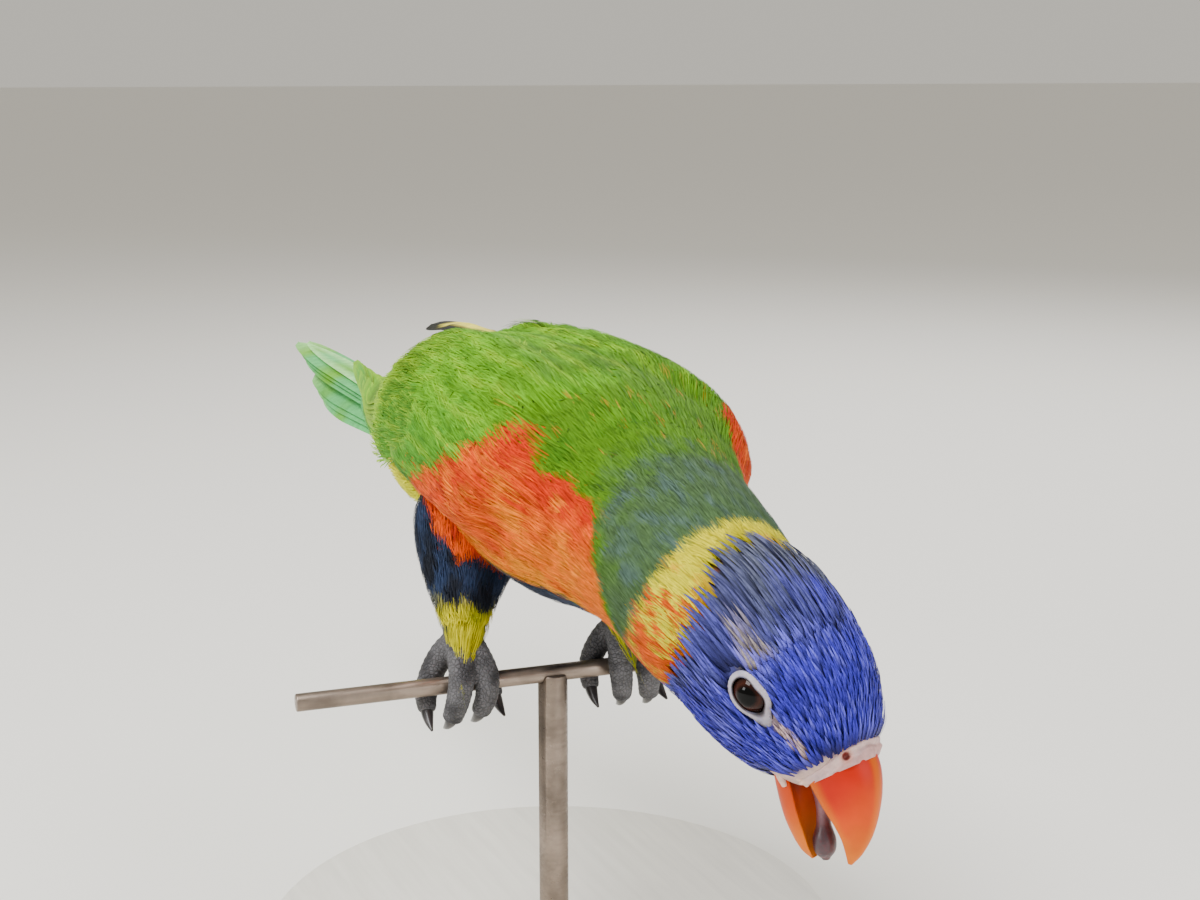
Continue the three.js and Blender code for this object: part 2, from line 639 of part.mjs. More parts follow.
Object.keys(FEET).forEach((side) => {
  add("leg_" + side, thigh(side).subtract(around), THIGH_YELLOW);
  add("foot_" + side, foot(side).subtract(wire(GAP)).subtract(thigh(side, GAP)), SKIN_GREY);
  TOES.forEach((toe, n) => {
    const path = claw(toe).map((p) => inFoot(FEET[side], p));
    add("claw_" + side + "_" + (n + 1), tube(path, 7, 2), CLAW_DARK);
  });
});

add("perch_wire", wire(), STEEL);
add("stand_rod", standRod(), STEEL);

const lorikeet = new THREE.Group();
lorikeet.add(bird);
lorikeet.add(meshOf("stand_base", standBase(), BASE_PAINT));

export default lorikeet;
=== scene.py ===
# A rainbow lorikeet, still and life-size, gripping a short length of steel wire on a display stand.
# Shapes are worked out in millimetres in the bird's own frame, whose origin is just under the wire,
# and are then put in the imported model's frame in metres.
import math

import bpy
import numpy as np
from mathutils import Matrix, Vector, kdtree


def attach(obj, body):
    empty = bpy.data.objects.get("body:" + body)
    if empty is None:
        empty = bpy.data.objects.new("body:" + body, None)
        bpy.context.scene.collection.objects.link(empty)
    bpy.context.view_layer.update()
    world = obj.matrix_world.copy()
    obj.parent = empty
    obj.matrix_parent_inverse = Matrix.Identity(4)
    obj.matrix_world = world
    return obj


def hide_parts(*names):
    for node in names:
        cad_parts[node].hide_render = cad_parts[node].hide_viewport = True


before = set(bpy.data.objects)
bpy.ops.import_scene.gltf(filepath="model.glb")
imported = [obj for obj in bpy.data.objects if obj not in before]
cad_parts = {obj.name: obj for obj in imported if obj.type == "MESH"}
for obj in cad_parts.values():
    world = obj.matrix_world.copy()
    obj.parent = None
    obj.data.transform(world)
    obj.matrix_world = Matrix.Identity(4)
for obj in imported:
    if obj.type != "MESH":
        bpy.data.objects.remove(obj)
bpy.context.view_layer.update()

# Driving dimensions in millimetres, and angles
MM = 0.001
PERCH_X = 16.0
PERCH_HEIGHT = 72.0
WIRE_Z = 1.8
WIRE_RADIUS = 1.75
WIRE_LENGTH = 104
WIRE_TURN = math.radians(-5.5)
WIRE_MIDDLE_Y = -6
TOUCHING_GAP = 0.3
ROD_RADIUS = 3
BASE_RADIUS = 62
BASE_THICK = 9
EYE_RADIUS = 3.9
EYE_SINK = 2.85
LID_SIDE = 13.1
THIGH_COAT = 1.4
COVERT_DEPTH = 1.3
TAIL_ROOT_X = -90
TAIL_MIDDLE_Y = -2
TAIL_HALF = 5.2
TAIL_FLATNESS = 0.68
TAIL_COAT = 1.2
SKIN_VOXEL = 0.9
FOOT_VOXEL = 0.27
BIRD_ORIGIN = np.array([PERCH_X, 0.0, PERCH_HEIGHT - WIRE_Z])
SIDES = ((1, "left"), (-1, "right"))
BODY_LAST = 15
rng = np.random.default_rng(20)

# Camera, as the photograph was taken
CAMERA_PLACE = (0.3266, -0.1403, 0.1912)
CAMERA_TURN = math.radians(25)
CAMERA_PITCH = math.radians(12.2)
CAMERA_LENS = 52.8

bpy.ops.object.select_all(action="DESELECT")
level = math.cos(CAMERA_PITCH)
looking = Vector((-math.cos(CAMERA_TURN) * level, math.sin(CAMERA_TURN) * level, -math.sin(CAMERA_PITCH)))
bpy.ops.object.camera_add(location=CAMERA_PLACE, rotation=looking.to_track_quat("-Z", "Y").to_euler())
camera = bpy.context.object
camera.data.lens = CAMERA_LENS
camera.data.sensor_width = 36
camera.data.clip_start = 0.01
bpy.context.scene.camera = camera


# Colours
def linear(code):
    """An sRGB hex colour as linear red, green and blue."""
    parts = np.array([int(code[i : i + 2], 16) / 255 for i in (1, 3, 5)])
    return np.where(parts <= 0.04045, parts / 12.92, ((parts + 0.055) / 1.055) ** 2.4)


GREEN_BACK = linear("#4f7d08")
GREEN_BRIGHT = linear("#68a808")
GREEN_SIDE = linear("#468e2c")
GREEN_DEEP = linear("#2b6008")
GREEN_FRINGE = linear("#a8d410")
GREEN_TAIL = linear("#58b96a")
GREEN_TAIL_EDGE = linear("#acec94")
GREEN_RUMP = linear("#56a236")
NECK_GREEN = linear("#455f3a")
NECK_BLUE = linear("#4c6070")
ORANGE_RED = linear("#c62c00")
ORANGE = linear("#e45600")
ORANGE_YELLOW = linear("#ee9400")
FLECK_ORANGE = linear("#c87a20")
BELLY_BLUE = linear("#2a3854")
BELLY_DARK = linear("#1b1f28")
LID_SHADE = linear("#221a1e")
COLLAR_YELLOW = linear("#d4ca00")
COLLAR_ORANGE = linear("#d65600")
HEAD_BLUE = linear("#3f38c8")
HEAD_PALE = linear("#6f6cf4")
HEAD_DARK = linear("#22244e")
HEAD_OLIVE = linear("#596069")
HEAD_BUFF = linear("#a4988f")
THIGH_YELLOW = linear("#c8c000")
THIGH_GREEN = linear("#83901c")
UNDERTAIL_YELLOW = linear("#dcdc04")
QUILL_BLACK = linear("#15170f")
QUILL_YELLOW = linear("#e6d84a")
BARE_PINK = linear("#d3b4ab")
BEAK_ORANGE = linear("#cc4000")
BEAK_DEEP = linear("#b61a00")
BEAK_YELLOW = linear("#d06a00")
MOUTH_RED_IN_SHADE = linear("#4a0f10")
CERE_PINK = linear("#c9a9a6")
CERE_GREY = linear("#a08a94")
CERE_RED = linear("#a8625c")
GAPE_PEACH = linear("#e0bba4")
NOSTRIL_RIM = linear("#c08470")
NOSTRIL_SHADE = linear("#6a2018")
TONGUE_PINK = linear("#86606a")
TONGUE_DARK = linear("#3a2c32")
LID_GREY = linear("#a8a0ab")
LID_BLUE = linear("#77799c")
SCALE_GREY = linear("#545356")
SCALE_DARK = linear("#29282c")


# Shape helpers, all on arrays of points in millimetres
def unit(v):
    return v / np.maximum(np.linalg.norm(v, axis=-1, keepdims=True), 1e-9)


def mix(a, b, share):
    share = np.asarray(share)[..., None]
    return a * (1 - share) + b * share


def ramp(value, low, high):
    """0 below low, 1 above high, and smooth between."""
    x = np.clip((value - low) / (high - low), 0, 1)
    return x * x * (3 - 2 * x)


def smooth(values, t):
    """Smooth values at t stations along a list."""
    values = np.asarray(values, float)
    t = np.asarray(t, float)
    last = len(values) - 1
    i = np.clip(np.floor(t).astype(int), 0, last - 1)
    u = t - i
    first = i > 0
    inner = i + 2 <= last
    if values.ndim > 1:
        u, first, inner = u[..., None], first[..., None], inner[..., None]
    b = values[i]
    c = values[i + 1]
    a = np.where(first, values[np.maximum(i - 1, 0)], 2 * b - c)
    d = np.where(inner, values[np.minimum(i + 2, last)], 2 * c - b)
    cubic = 3 * b - a - 3 * c + d
    return 0.5 * (2 * b + (c - a) * u + (2 * a - 5 * b + 4 * c - d) * u * u + cubic * u**3)


def cloud(points, size, seed):
    """Soft unevenness from -1 to 1 whose patches are about size across."""
    draw = np.random.default_rng(seed)
    total = np.zeros(points.shape[:-1])
    for _ in range(7):
        wave = unit(draw.normal(size=3)) * 2 * math.pi / (size * draw.uniform(0.8, 2.4))
        total = total + np.sin(points @ wave + draw.uniform(0, 6.28))
    return total / 3.2


# Head frame
HEAD_CENTRE = np.array([77.2, 0.6, 24.6])
HEAD_FORWARD = unit(np.array([0.693, 0.251, -0.675]))
HEAD_LEFT = unit(np.cross([0.605, 0.305, 0.735], HEAD_FORWARD))
HEAD_UP = np.cross(HEAD_FORWARD, HEAD_LEFT)


def in_head(forward, up, left=0.0):
    """Points from their distances ahead of, above and left of the head's centre."""
    forward, up, left = (part[..., None] for part in np.broadcast_arrays(forward, up, left))
    return HEAD_CENTRE + forward * HEAD_FORWARD + up * HEAD_UP + left * HEAD_LEFT


def head_parts(points):
    off = points - HEAD_CENTRE
    return off @ HEAD_FORWARD, off @ HEAD_UP, off @ HEAD_LEFT


# Body stations: middle, up, half width, height above and below
BODY = [
    ([-104, -2, 36.5], [0, 0, 1], 8, 5, 5),
    ([-92, -2, 37.5], [0, 0, 1], 12.5, 9, 8.5),
    ([-74, -1, 39.5], [0, 0, 1], 17, 15, 14),
    ([-52, 0, 42], [0, 0, 1], 22, 21, 19.5),
    ([-28, 1, 43.5], [0, 0, 1], 25.5, 22.5, 23.5),
    ([-5, 0.5, 43.5], [0, 0, 1], 26.5, 22.6, 24.5),
    ([14, 0, 42.5], [0, 0, 1], 25.5, 22.2, 23.5),
    ([28, -0.6, 40.5], [0, 0, 1], 21.4, 20, 20),
    ([40, -1.5, 38.5], [0.08, 0.02, 0.98], 17.6, 18, 17.5),
    ([52, -2.2, 36], [0.22, 0.08, 0.97], 16.4, 16.5, 16),
    ([63, -2.6, 32.5], [0.42, 0.17, 0.88], 15.6, 15.6, 15.2),
    (in_head(-8.5, 0), HEAD_UP, 14.9, 15.6, 15.6),
    (in_head(0, 0), HEAD_UP, 13.9, 15.8, 14.8),
    (in_head(7.5, -0.3), HEAD_UP, 12.1, 14.6, 12.4),
    (in_head(13.5, -0.8), HEAD_UP, 9.6, 11, 9),
    (in_head(17, -1.2), HEAD_UP, 7, 7.4, 6),
]
MIDDLES = np.array([s[0] for s in BODY], float)
LEANS = np.array([s[1] for s in BODY], float)
WIDE, ABOVE, BELOW = (np.array([s[k] for s in BODY], float) for k in (2, 3, 4))


def on_body(t, angle, grow=0.0):
    """Points on the body: t stations along, turned by angle from the top towards the bird's left."""
    t, angle, grow = np.broadcast_arrays(np.asarray(t, float), angle, grow)
    ahead = unit(smooth(MIDDLES, t + 0.02) - smooth(MIDDLES, t - 0.02))
    left = unit(np.cross(smooth(LEANS, t), ahead))
    up = np.cross(ahead, left)
    tall = np.where(np.cos(angle) > 0, smooth(ABOVE, t), smooth(BELOW, t)) + grow
    wide = smooth(WIDE, t) + grow
    ring = left * (wide * np.sin(angle))[..., None] + up * (tall * np.cos(angle))[..., None]
    return smooth(MIDDLES, t) + ring


STEPS = np.linspace(0, BODY_LAST, 301)
STEP_LENGTH = np.linalg.norm(np.gradient(smooth(MIDDLES, STEPS), STEPS, axis=0), axis=1)
AROUND = (smooth(WIDE, STEPS) + (smooth(ABOVE, STEPS) + smooth(BELOW, STEPS)) / 2) / 2


def by_station(stations, values):
    """A value that depends on the station, given at some of them."""
    return lambda t: np.interp(t, stations, values)


length_per_station = by_station(STEPS, STEP_LENGTH)

# How deep the skin lies under the tips of the coat
coat_depth = by_station([0, 8, 10.5, 12, 15], [2.2, 2.2, 1.6, 1.1, 0.5])


class Form:
    """A shape that a coat is laid on, by station and by angle. The coat's tips point to station 0."""

    def __init__(self, place, per_station, radius, depth, last):
        self.place = place
        self.per_station = per_station
        self.radius = radius
        self.depth = depth
        self.last = last


BODY_FORM = Form(on_body, length_per_station, by_station(STEPS, AROUND), coat_depth, BODY_LAST)


def tube_form(path, flat, depth):
    """A form along [x, y, z, half width] points, with its height as a share of its width."""
    path = np.array(path[::-1], float)
    last = len(path) - 1

    def place(t, angle, grow=0.0):
        t, angle, grow = np.broadcast_arrays(np.asarray(t, float), angle, grow)
        ahead = unit(smooth(path[:, :3], t + 0.05) - smooth(path[:, :3], t - 0.05))
        left = unit(np.cross([0.25, 0.0, 0.97], ahead))
        up = np.cross(ahead, left)
        radius = smooth(path[:, 3], t)
        wide = left * ((radius + grow) * np.sin(angle))[..., None]
        tall = up * ((radius * flat + grow) * np.cos(angle))[..., None]
        return smooth(path[:, :3], t) + wide + tall

    steps = np.linspace(0, last, 61)
    lengths = np.linalg.norm(np.gradient(smooth(path[:, :3], steps), steps, axis=0), axis=1)
    radii = smooth(path[:, 3], steps)
    return Form(place, by_station(steps, lengths), by_station(steps, radii), by_station([0], [depth]), last)


# Folded wings, as rows from the wrist to the tip: a body station, and the angles and heights over the body of
# the lower edge, the middle and the upper edge. Past the body a row gives these three as points
WING_ROWS = [
    (6.25, (90, 68, 44), (1.2, 2.0, 2.2)),
    (5.95, (102, 64, 27), (1.4, 2.6, 2.0)),
    (5.4, (106, 60, 17), (1.4, 2.8, 1.6)),
    (4.6, (106, 57, 12), (1.4, 2.6, 1.2)),
    (3.8, (102, 55, 11), (1.8, 2.6, 1.4)),
    (3.0, (96, 54, 12), (2.2, 2.8, 1.8)),
    (None, ([-73, 18.5, 40], [-74, 16, 49.5], [-72, 5.5, 56])),
    (None, ([-92, 13.5, 43], [-93, 12, 49.5], [-91, 5.5, 53.5])),
    (None, ([-109, 10.5, 47], [-110, 9.5, 50.5], [-109, 6, 51.8])),
    (None, ([-124, 8.5, 49.3], [-124, 8.2, 50.5], [-124, 7.4, 51])),
]
REAR_Y = -1.5
WING_TIP = {1: (5, 5), -1: (0, -1)}
WING_LAST = len(WING_ROWS) - 1


def wing_line(side, k):
    points = []
    for row in WING_ROWS:
        if row[0] is None:
            x, y, z = row[1][k]
            points.append([x, REAR_Y + side * y, z])
        else:
            points.append(on_body(row[0], side * math.radians(row[1][k]), row[2][k]))
    return np.array(points, float)


WING_LINES = {side: [wing_line(side, k) for k in range(3)] for side, _ in SIDES}


def on_wing(side, s, v, grow=0.0):
    """Points on a wing: s from the wrist to the tip, v from the lower edge to the upper edge."""
    s, v, grow = np.broadcast_arrays(np.asarray(s, float), v, grow)
    low, mid, top = (smooth(line, s * WING_LAST) for line in WING_LINES[side])
    bow = 2 * mid - 0.5 * low - 0.5 * top
    w = v[..., None]
    points = low * (1 - w) ** 2 + bow * 2 * w * (1 - w) + top * w * w
    out, up = WING_TIP[side]
    cube = np.maximum(s, 0) ** 3
    return points + np.stack([0 * s, side * out * cube, up * cube], -1)


def wing_frame(side, s, v):
    """Points on a wing, and the way out of it there."""
    middle = on_wing(side, s, v)
    along = unit(on_wing(side, s + 0.01, v) - on_wing(side, s - 0.01, v))
    across = unit(on_wing(side, s, v + 0.02) - on_wing(side, s, v - 0.02))
    return middle, unit(np.cross(along, across) * side)


# Making meshes
def placed(points):
    """Millimetres in the bird's frame to metres in the model's frame."""
    return (np.asarray(points, float) + BIRD_ORIGIN) * MM


def put_points(piece, points):
    piece.data.vertices.foreach_set("co", placed(points).astype(np.float32).ravel())
    piece.data.update()


def own_points(piece):
    """A piece's points in millimetres in the bird's frame."""
    flat = np.empty(len(piece.data.vertices) * 3, np.float32)
    piece.data.vertices.foreach_get("co", flat)
    return flat.reshape(-1, 3) / MM - BIRD_ORIGIN


def shaped_sheet(name, along, around, place):
    """A grid laid over place(u, v), with its doubles merged and its faces turned outwards."""
    bpy.ops.object.select_all(action="DESELECT")
    bpy.ops.mesh.primitive_grid_add(x_subdivisions=along, y_subdivisions=around, size=2)
    piece = bpy.context.object
    piece.name = name
    flat = np.empty(len(piece.data.vertices) * 3, np.float32)
    piece.data.vertices.foreach_get("co", flat)
    share = (flat.reshape(-1, 3)[:, :2].astype(float) + 1) / 2
    put_points(piece, place(np.round(share[:, 0], 6), np.round(share[:, 1], 6)))
    bpy.ops.object.mode_set(mode="EDIT")
    bpy.ops.mesh.select_all(action="SELECT")
    bpy.ops.mesh.remove_doubles(threshold=1e-6)
    bpy.ops.mesh.normals_make_consistent(inside=False)
    bpy.ops.object.mode_set(mode="OBJECT")
    bpy.ops.object.shade_smooth()
    return piece


def join_pieces(pieces):
    """All pieces as one, which keeps the first one's name."""
    bpy.ops.object.select_all(action="DESELECT")
    for piece in pieces:
        piece.select_set(True)
    bpy.context.view_layer.objects.active = pieces[0]
    bpy.ops.object.join()
    return pieces[0]


def apply_modifier(piece, kind, **settings):
    bpy.context.view_layer.objects.active = piece
    made = piece.modifiers.new(kind.lower(), kind)
    for key, value in settings.items():
        setattr(made, key, value)
    bpy.ops.object.modifier_apply(modifier=made.name)


def fuse(pieces, voxel, rounds):
    """All pieces as one closed surface, relaxed a little."""
    whole = join_pieces(pieces)
    apply_modifier(whole, "REMESH", mode="VOXEL", voxel_size=voxel * MM, use_smooth_shade=True)
    apply_modifier(whole, "SMOOTH", iterations=rounds)
    return whole


def tube_place(path, squash=1.0, swell=None):
    """The place function of a tube with closed ends along [x, y, z, radius] points."""
    path = np.array(path, float)
    last = len(path) - 1

    def place(u, v):
        share = np.clip((u - 0.04) / 0.92, 0, 1)
        t = share * last
        middle = smooth(path[:, :3], t)
        ahead = unit(smooth(path[:, :3], t + 0.05) - smooth(path[:, :3], t - 0.05))
        side = unit(np.cross(np.array([0.21, 0.97, 0.11]), ahead))
        up = np.cross(ahead, side)
        end = np.clip(np.minimum(u, 1 - u) / 0.04, 0, 1)
        radius = smooth(path[:, 3], t) * np.sqrt(np.maximum(1 - (1 - end) ** 2, 0))
        if swell:
            radius = radius * swell(share, v)
        turn = v * 2 * math.pi
        cap = np.where(u < 0.5, -1, 1) * (1 - end) * smooth(path[:, 3], t) * 0.5
        ring = side * (radius * np.cos(turn))[:, None] + up * (radius * np.sin(turn) * squash)[:, None]
        return middle + ahead * cap[:, None] + ring

    return place


def paint(piece, colours):
    """A colour for each point, which the piece's material reads."""
    layer = piece.data.color_attributes.new("coat", "FLOAT_COLOR", "POINT")
    full = np.ones((len(colours), 4), np.float32)
    full[:, :3] = np.clip(colours, 0, 1)
    layer.data.foreach_set("color", full.ravel())


# Half the width of a vane's patch on the unwrapped skin
PATCH_HALF = 0.0015


def feather_piece(name, points, colours, root_map, lengths, halves, material):
    """One mesh of many vanes. points is vanes x rows x columns x 3, root_map their place on the skin."""
    vanes, rows, columns = points.shape[:3]
    corner = np.arange(rows * columns).reshape(rows, columns)
    quads = np.stack([corner[:-1, :-1], corner[1:, :-1], corner[1:, 1:], corner[:-1, 1:]], -1).reshape(-1, 4)
    faces = (quads[None] + (np.arange(vanes) * rows * columns)[:, None, None]).reshape(-1, 4)
    mesh = bpy.data.meshes.new(name)
    mesh.vertices.add(vanes * rows * columns)
    mesh.loops.add(faces.size)
    mesh.polygons.add(len(faces))
    mesh.vertices.foreach_set("co", placed(points.reshape(-1, 3)).astype(np.float32).ravel())
    mesh.loops.foreach_set("vertex_index", faces.ravel().astype(np.int32))
    mesh.polygons.foreach_set("loop_start", np.arange(0, faces.size, 4, dtype=np.int32))
    mesh.polygons.foreach_set("use_smooth", np.ones(len(faces), bool))
    mesh.update(calc_edges=True)
    piece = bpy.data.objects.new(name, mesh)
    bpy.context.collection.objects.link(piece)
    across = np.linspace(-1, 1, columns)[None, None, :]
    along = np.linspace(0, 1, rows)[None, :, None]
    flat = np.zeros((vanes, rows, columns))
    patch_u = root_map[:, 0, None, None] + PATCH_HALF * across + flat
    patch_v = root_map[:, 1, None, None] + PATCH_HALF * (2 * along - 1) + flat
    lie_u = 0.5 + across * halves[:, None, None] / 10 + flat
    lie_v = along * lengths[:, None, None] / 10 + flat
    bake = np.stack([patch_u, patch_v], -1)
    lie = np.stack([lie_u, lie_v], -1)
    for layer_name, layout in (("OFBake", bake), ("Vane", lie)):
        layer = mesh.uv_layers.new(name=layer_name)
        layer.data.foreach_set("uv", layout.reshape(-1, 2)[faces.ravel()].astype(np.float32).ravel())
    paint(piece, colours.reshape(-1, 3))
    mesh.materials.append(material)
    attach(piece, "root")
    return piece


def finish_piece(piece, colours, material, slot, *nodes):
    """Paint a piece, unless colours is None, give it its material, hang it from the root body and hide the
    model's nodes that it replaces.
    """
    if colours is not None:
        paint(piece, colours)
    piece.data.materials.clear()
    piece.data.materials.append(material)
    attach(piece, "root")
    if nodes:
        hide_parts(*nodes)


# Materials
def set_sockets(node, sockets):
    """Values are set on a node's own sockets, and other nodes' outputs are linked to them."""
    for key, value in sockets.items():
        if isinstance(value, bpy.types.NodeSocket):
            node.id_data.links.new(value, node.inputs[key])
        else:
            node.inputs[key].default_value = value


def add_node(tree, kind, sockets=None, output=0, **settings):
    """One output of a new node that has these settings and sockets."""
    made = tree.nodes.new(kind)
    for key, value in settings.items():
        setattr(made, key, value)
    set_sockets(made, sockets or {})
    return made.outputs[output]


def between(value, low, high, from_low=0.3, from_high=0.7):
    """Sockets that map a value from one range to another. Noise lies mostly from 0.3 to 0.7."""
    return {"Value": value, "From Min": from_low, "From Max": from_high, "To Min": low, "To Max": high}


def new_material(name, **sockets):
    """A material and its shader, with constants set on the shader's own sockets."""
    material = bpy.data.materials.new(name)
    material.use_nodes = True
    shader = material.node_tree.nodes["Principled BSDF"]
    set_sockets(shader, {key.replace("_", " "): value for key, value in sockets.items()})
    return material, material.node_tree, shader


def mottled_material(
    name, tint, tone, shades, relief=None, bump=None, span=(0.3, 0.7), rough=None, **sockets
):
    """A material whose tint is made darker and lighter by noise.

    tint is a colour, or None for what is painted on the piece. tone and relief are each a noise's grains
    per metre, its detail, its stretch and its turn. Without a relief the bump follows the tone. bump is a
    strength and a height in metres. rough is the least and most roughness, and which noise it follows.
    """
    material, tree, shader = new_material(name, **sockets)
    place = add_node(tree, "ShaderNodeTexCoord", output="Object")

    def grains(scale, detail, stretch=(1, 1, 1), turn=0.0):
        way = {"Vector": place, "Rotation": (0, 0, turn), "Scale": stretch}
        vector = add_node(tree, "ShaderNodeMapping", way)
        return add_node(tree, "ShaderNodeTexNoise", {"Vector": vector, "Scale": scale, "Detail": detail})

    tones = grains(*tone)
    fine = grains(*relief) if relief else tones
    if tint:
        colour = tuple(linear(tint))
    else:
        colour = add_node(tree, "ShaderNodeAttribute", attribute_name="coat")
    shade = add_node(tree, "ShaderNodeMapRange", between(tones, *shades, *span))
    mottled = add_node(tree, "ShaderNodeVectorMath", {0: colour, 1: shade}, operation="MULTIPLY")
    set_sockets(shader, {"Base Color": mottled})
    if bump:
        height = {"Height": fine, "Strength": bump[0], "Distance": bump[1]}
        set_sockets(shader, {"Normal": add_node(tree, "ShaderNodeBump", height)})
    if rough:
        source = fine if rough[2] == "relief" else tones
        set_sockets(shader, {"Roughness": add_node(tree, "ShaderNodeMapRange", between(source, *rough[:2]))})
    return material


def vane_material(name, barb_space, barb_dark, **sockets):
    """Close keratin barbs in a vane: matt, with fine slanting lines at either side of the shaft."""
    material, tree, shader = new_material(name, Sheen_Roughness=0.4, Specular_IOR_Level=0.1, **sockets)
    colour = add_node(tree, "ShaderNodeAttribute", attribute_name="coat")
    lie = add_node(tree, "ShaderNodeUVMap", uv_map="Vane")
    across = add_node(tree, "ShaderNodeSeparateXYZ", {0: lie}, "X")
    along = add_node(tree, "ShaderNodeSeparateXYZ", {0: lie}, "Y")
    place = add_node(tree, "ShaderNodeTexCoord", output="Object")
    uneven = add_node(tree, "ShaderNodeTexNoise", {"Vector": place, "Scale": 420.0, "Detail": 2.0})
    off_shaft = add_node(tree, "ShaderNodeMath", {0: across, 1: 0.5}, operation="SUBTRACT")
    off_shaft = add_node(tree, "ShaderNodeMath", {0: off_shaft}, operation="ABSOLUTE")
    slant = add_node(tree, "ShaderNodeMath", {0: off_shaft, 1: -1.5, 2: along}, operation="MULTIPLY_ADD")
    waver = add_node(tree, "ShaderNodeMath", {0: uneven, 1: 9.0}, operation="MULTIPLY")
    turns = 10 / barb_space * 2 * math.pi
    phase = add_node(tree, "ShaderNodeMath", {0: slant, 1: turns, 2: waver}, operation="MULTIPLY_ADD")
    barbs = add_node(tree, "ShaderNodeMath", {0: phase}, operation="SINE")
    patchy = add_node(tree, "ShaderNodeMapRange", between(uneven, 0.82, 1.15))
    lines = add_node(tree, "ShaderNodeMapRange", between(barbs, barb_dark, 1.0, -0.9, 0.2))
    shade = add_node(tree, "ShaderNodeMath", {0: lines, 1: patchy}, operation="MULTIPLY")
    shaded = add_node(tree, "ShaderNodeVectorMath", {0: colour, 1: shade}, operation="MULTIPLY")
    relief = add_node(tree, "ShaderNodeBump", {"Height": barbs, "Strength": 0.25, "Distance": 0.0002})
    set_sockets(shader, {"Base Color": shaded, "Normal": relief})
    return material


# Contour feathers: matt keratin, with soft lines where the barbs lie side by side
soft_vane = vane_material(
    "Contour feather barbs, matt keratin", 0.45, 0.75, Roughness=0.75, Sheen_Weight=0.03
)
# Hackles: narrower and closer, so they catch the light in thin streaks
hackle_vane = vane_material(
    "Narrow hackle barbs, slightly glossy keratin", 0.6, 0.8, Roughness=0.5, Sheen_Weight=0.05
)
# Flight feathers: firm flat vanes with an even satin surface
quill_vane = vane_material(
    "Flight feather vane, close keratin barbs", 0.5, 0.8, Roughness=0.55, Sheen_Weight=0.05
)
# Loose barbs: single matt threads whose colour shifts a little along them
barb_vane = mottled_material(
    "Loose barbs at the feathers' edges, soft keratin", None, (600.0, 2.0), (0.85, 1.15),
    Roughness=0.7, Sheen_Weight=0.03, Sheen_Roughness=0.4, Specular_IOR_Level=0.08
)
# Skin under the coat: dull, with down. The colours painted on it are darkened as painted shade, so that the
# gaps between feathers look deep
skin_material = mottled_material(
    "Thin skin with down, painted shade between the feathers", None, (900.0, 3.0), (0.6, 1.3), bump=(0.5, 0.0003),
    span=(0.0, 1.0), Roughness=0.85
)
# Beak: smooth horn with a soft satin shine and faint clouds of colour
horn_material = mottled_material(
    "Orange beak horn, polished keratin", None, (160.0, 4.0), (0.88, 1.1), (900.0, 2.0), (0.12, 0.0001),
    rough=(0.28, 0.48, "tone"), Specular_IOR_Level=0.14
)
# Cere, gape and lids: bare skin, slightly moist, with fine pores and light that sinks in a little
bare_material = mottled_material(
    "Bare skin, soft and slightly moist", None, (1100.0, 3.0), (0.85, 1.12), bump=(0.35, 0.0002),
    Roughness=0.55, Subsurface_Weight=0.1, Subsurface_Scale=0.001
)
# Tongue: dark, rough with tiny bumps, and wet enough to shine
tongue_material = mottled_material(
    "Moist dark tongue", None, (1500.0, 2.0), (0.85, 1.15), bump=(0.5, 0.0002),
    Roughness=0.36, Subsurface_Weight=0.1
)
# Claws: dark horn, smooth, with paler growth layers
claw_material = mottled_material(
    "Dark claw horn, smooth keratin", "#2b2829", (700.0, 3.0), (0.7, 1.6), Roughness=0.3
)
# Wire and rod: drawn steel, dull and stained, with fine lines along the wire
steel_material = mottled_material(
    "Bare steel wire, dull, drawn and scuffed", "#8a7c70", (120.0, 5.0), (0.55, 1.35),
    (1500.0, 4.0, (1.0, 0.06, 1.0), WIRE_TURN), (0.15, 0.0001), rough=(0.25, 0.6, "relief"), Metallic=0.9
)
# Base: turned beech under satin paint, whose grain shows only faintly
paint_material = mottled_material(
    "Turned beech, painted satin off-white", "#d9d6ce", (500.0, 4.0, (0.08, 1.0, 1.0)), (0.93, 1.04),
    bump=(0.12, 0.0003), Roughness=0.5
)


# Markings: the colour at a place on the body, for skin and coat alike.
# Angles here are in degrees from the top, minus on the bird's right.
COLLAR_ANGLES = [-180, -142, -127, -106, -81, -54, -17, 18, 60, 100, 127, 142, 180]
COLLAR_BACK = [9.9, 9.6, 9.48, 9.75, 9.85, 9.82, 9.64, 9.58, 9.7, 9.75, 9.6, 9.7, 9.9]
COLLAR_FRONT = [9.9, 10.4, 10.7, 10.95, 10.9, 10.7, 10.45, 10.5, 10.6, 10.6, 10.4, 10.1, 9.9]


# The orange patch's upper and lower edge as an angle by station, and where the neck's colour starts
patch_top = by_station(
    [2.8, 3.6, 4.43, 5.7, 6.27, 6.75, 7.3, 8.1, 8.6], [118, 108, 94, 68, 45, 60, 58, 58, 80]
)
patch_bottom = by_station([2.8, 3.4, 4.43, 5.72, 7.2, 7.9, 8.3], [118, 122, 126, 129, 130, 148, 182])


def neck_edge(angle):
    return np.interp(np.abs(angle), [0, 40, 60, 95, 110, 135, 180], [7.7, 7.75, 8.1, 8.7, 9.0, 9.15, 9.5])


def collar_front(angle):
    return np.interp(angle, COLLAR_ANGLES, COLLAR_FRONT)


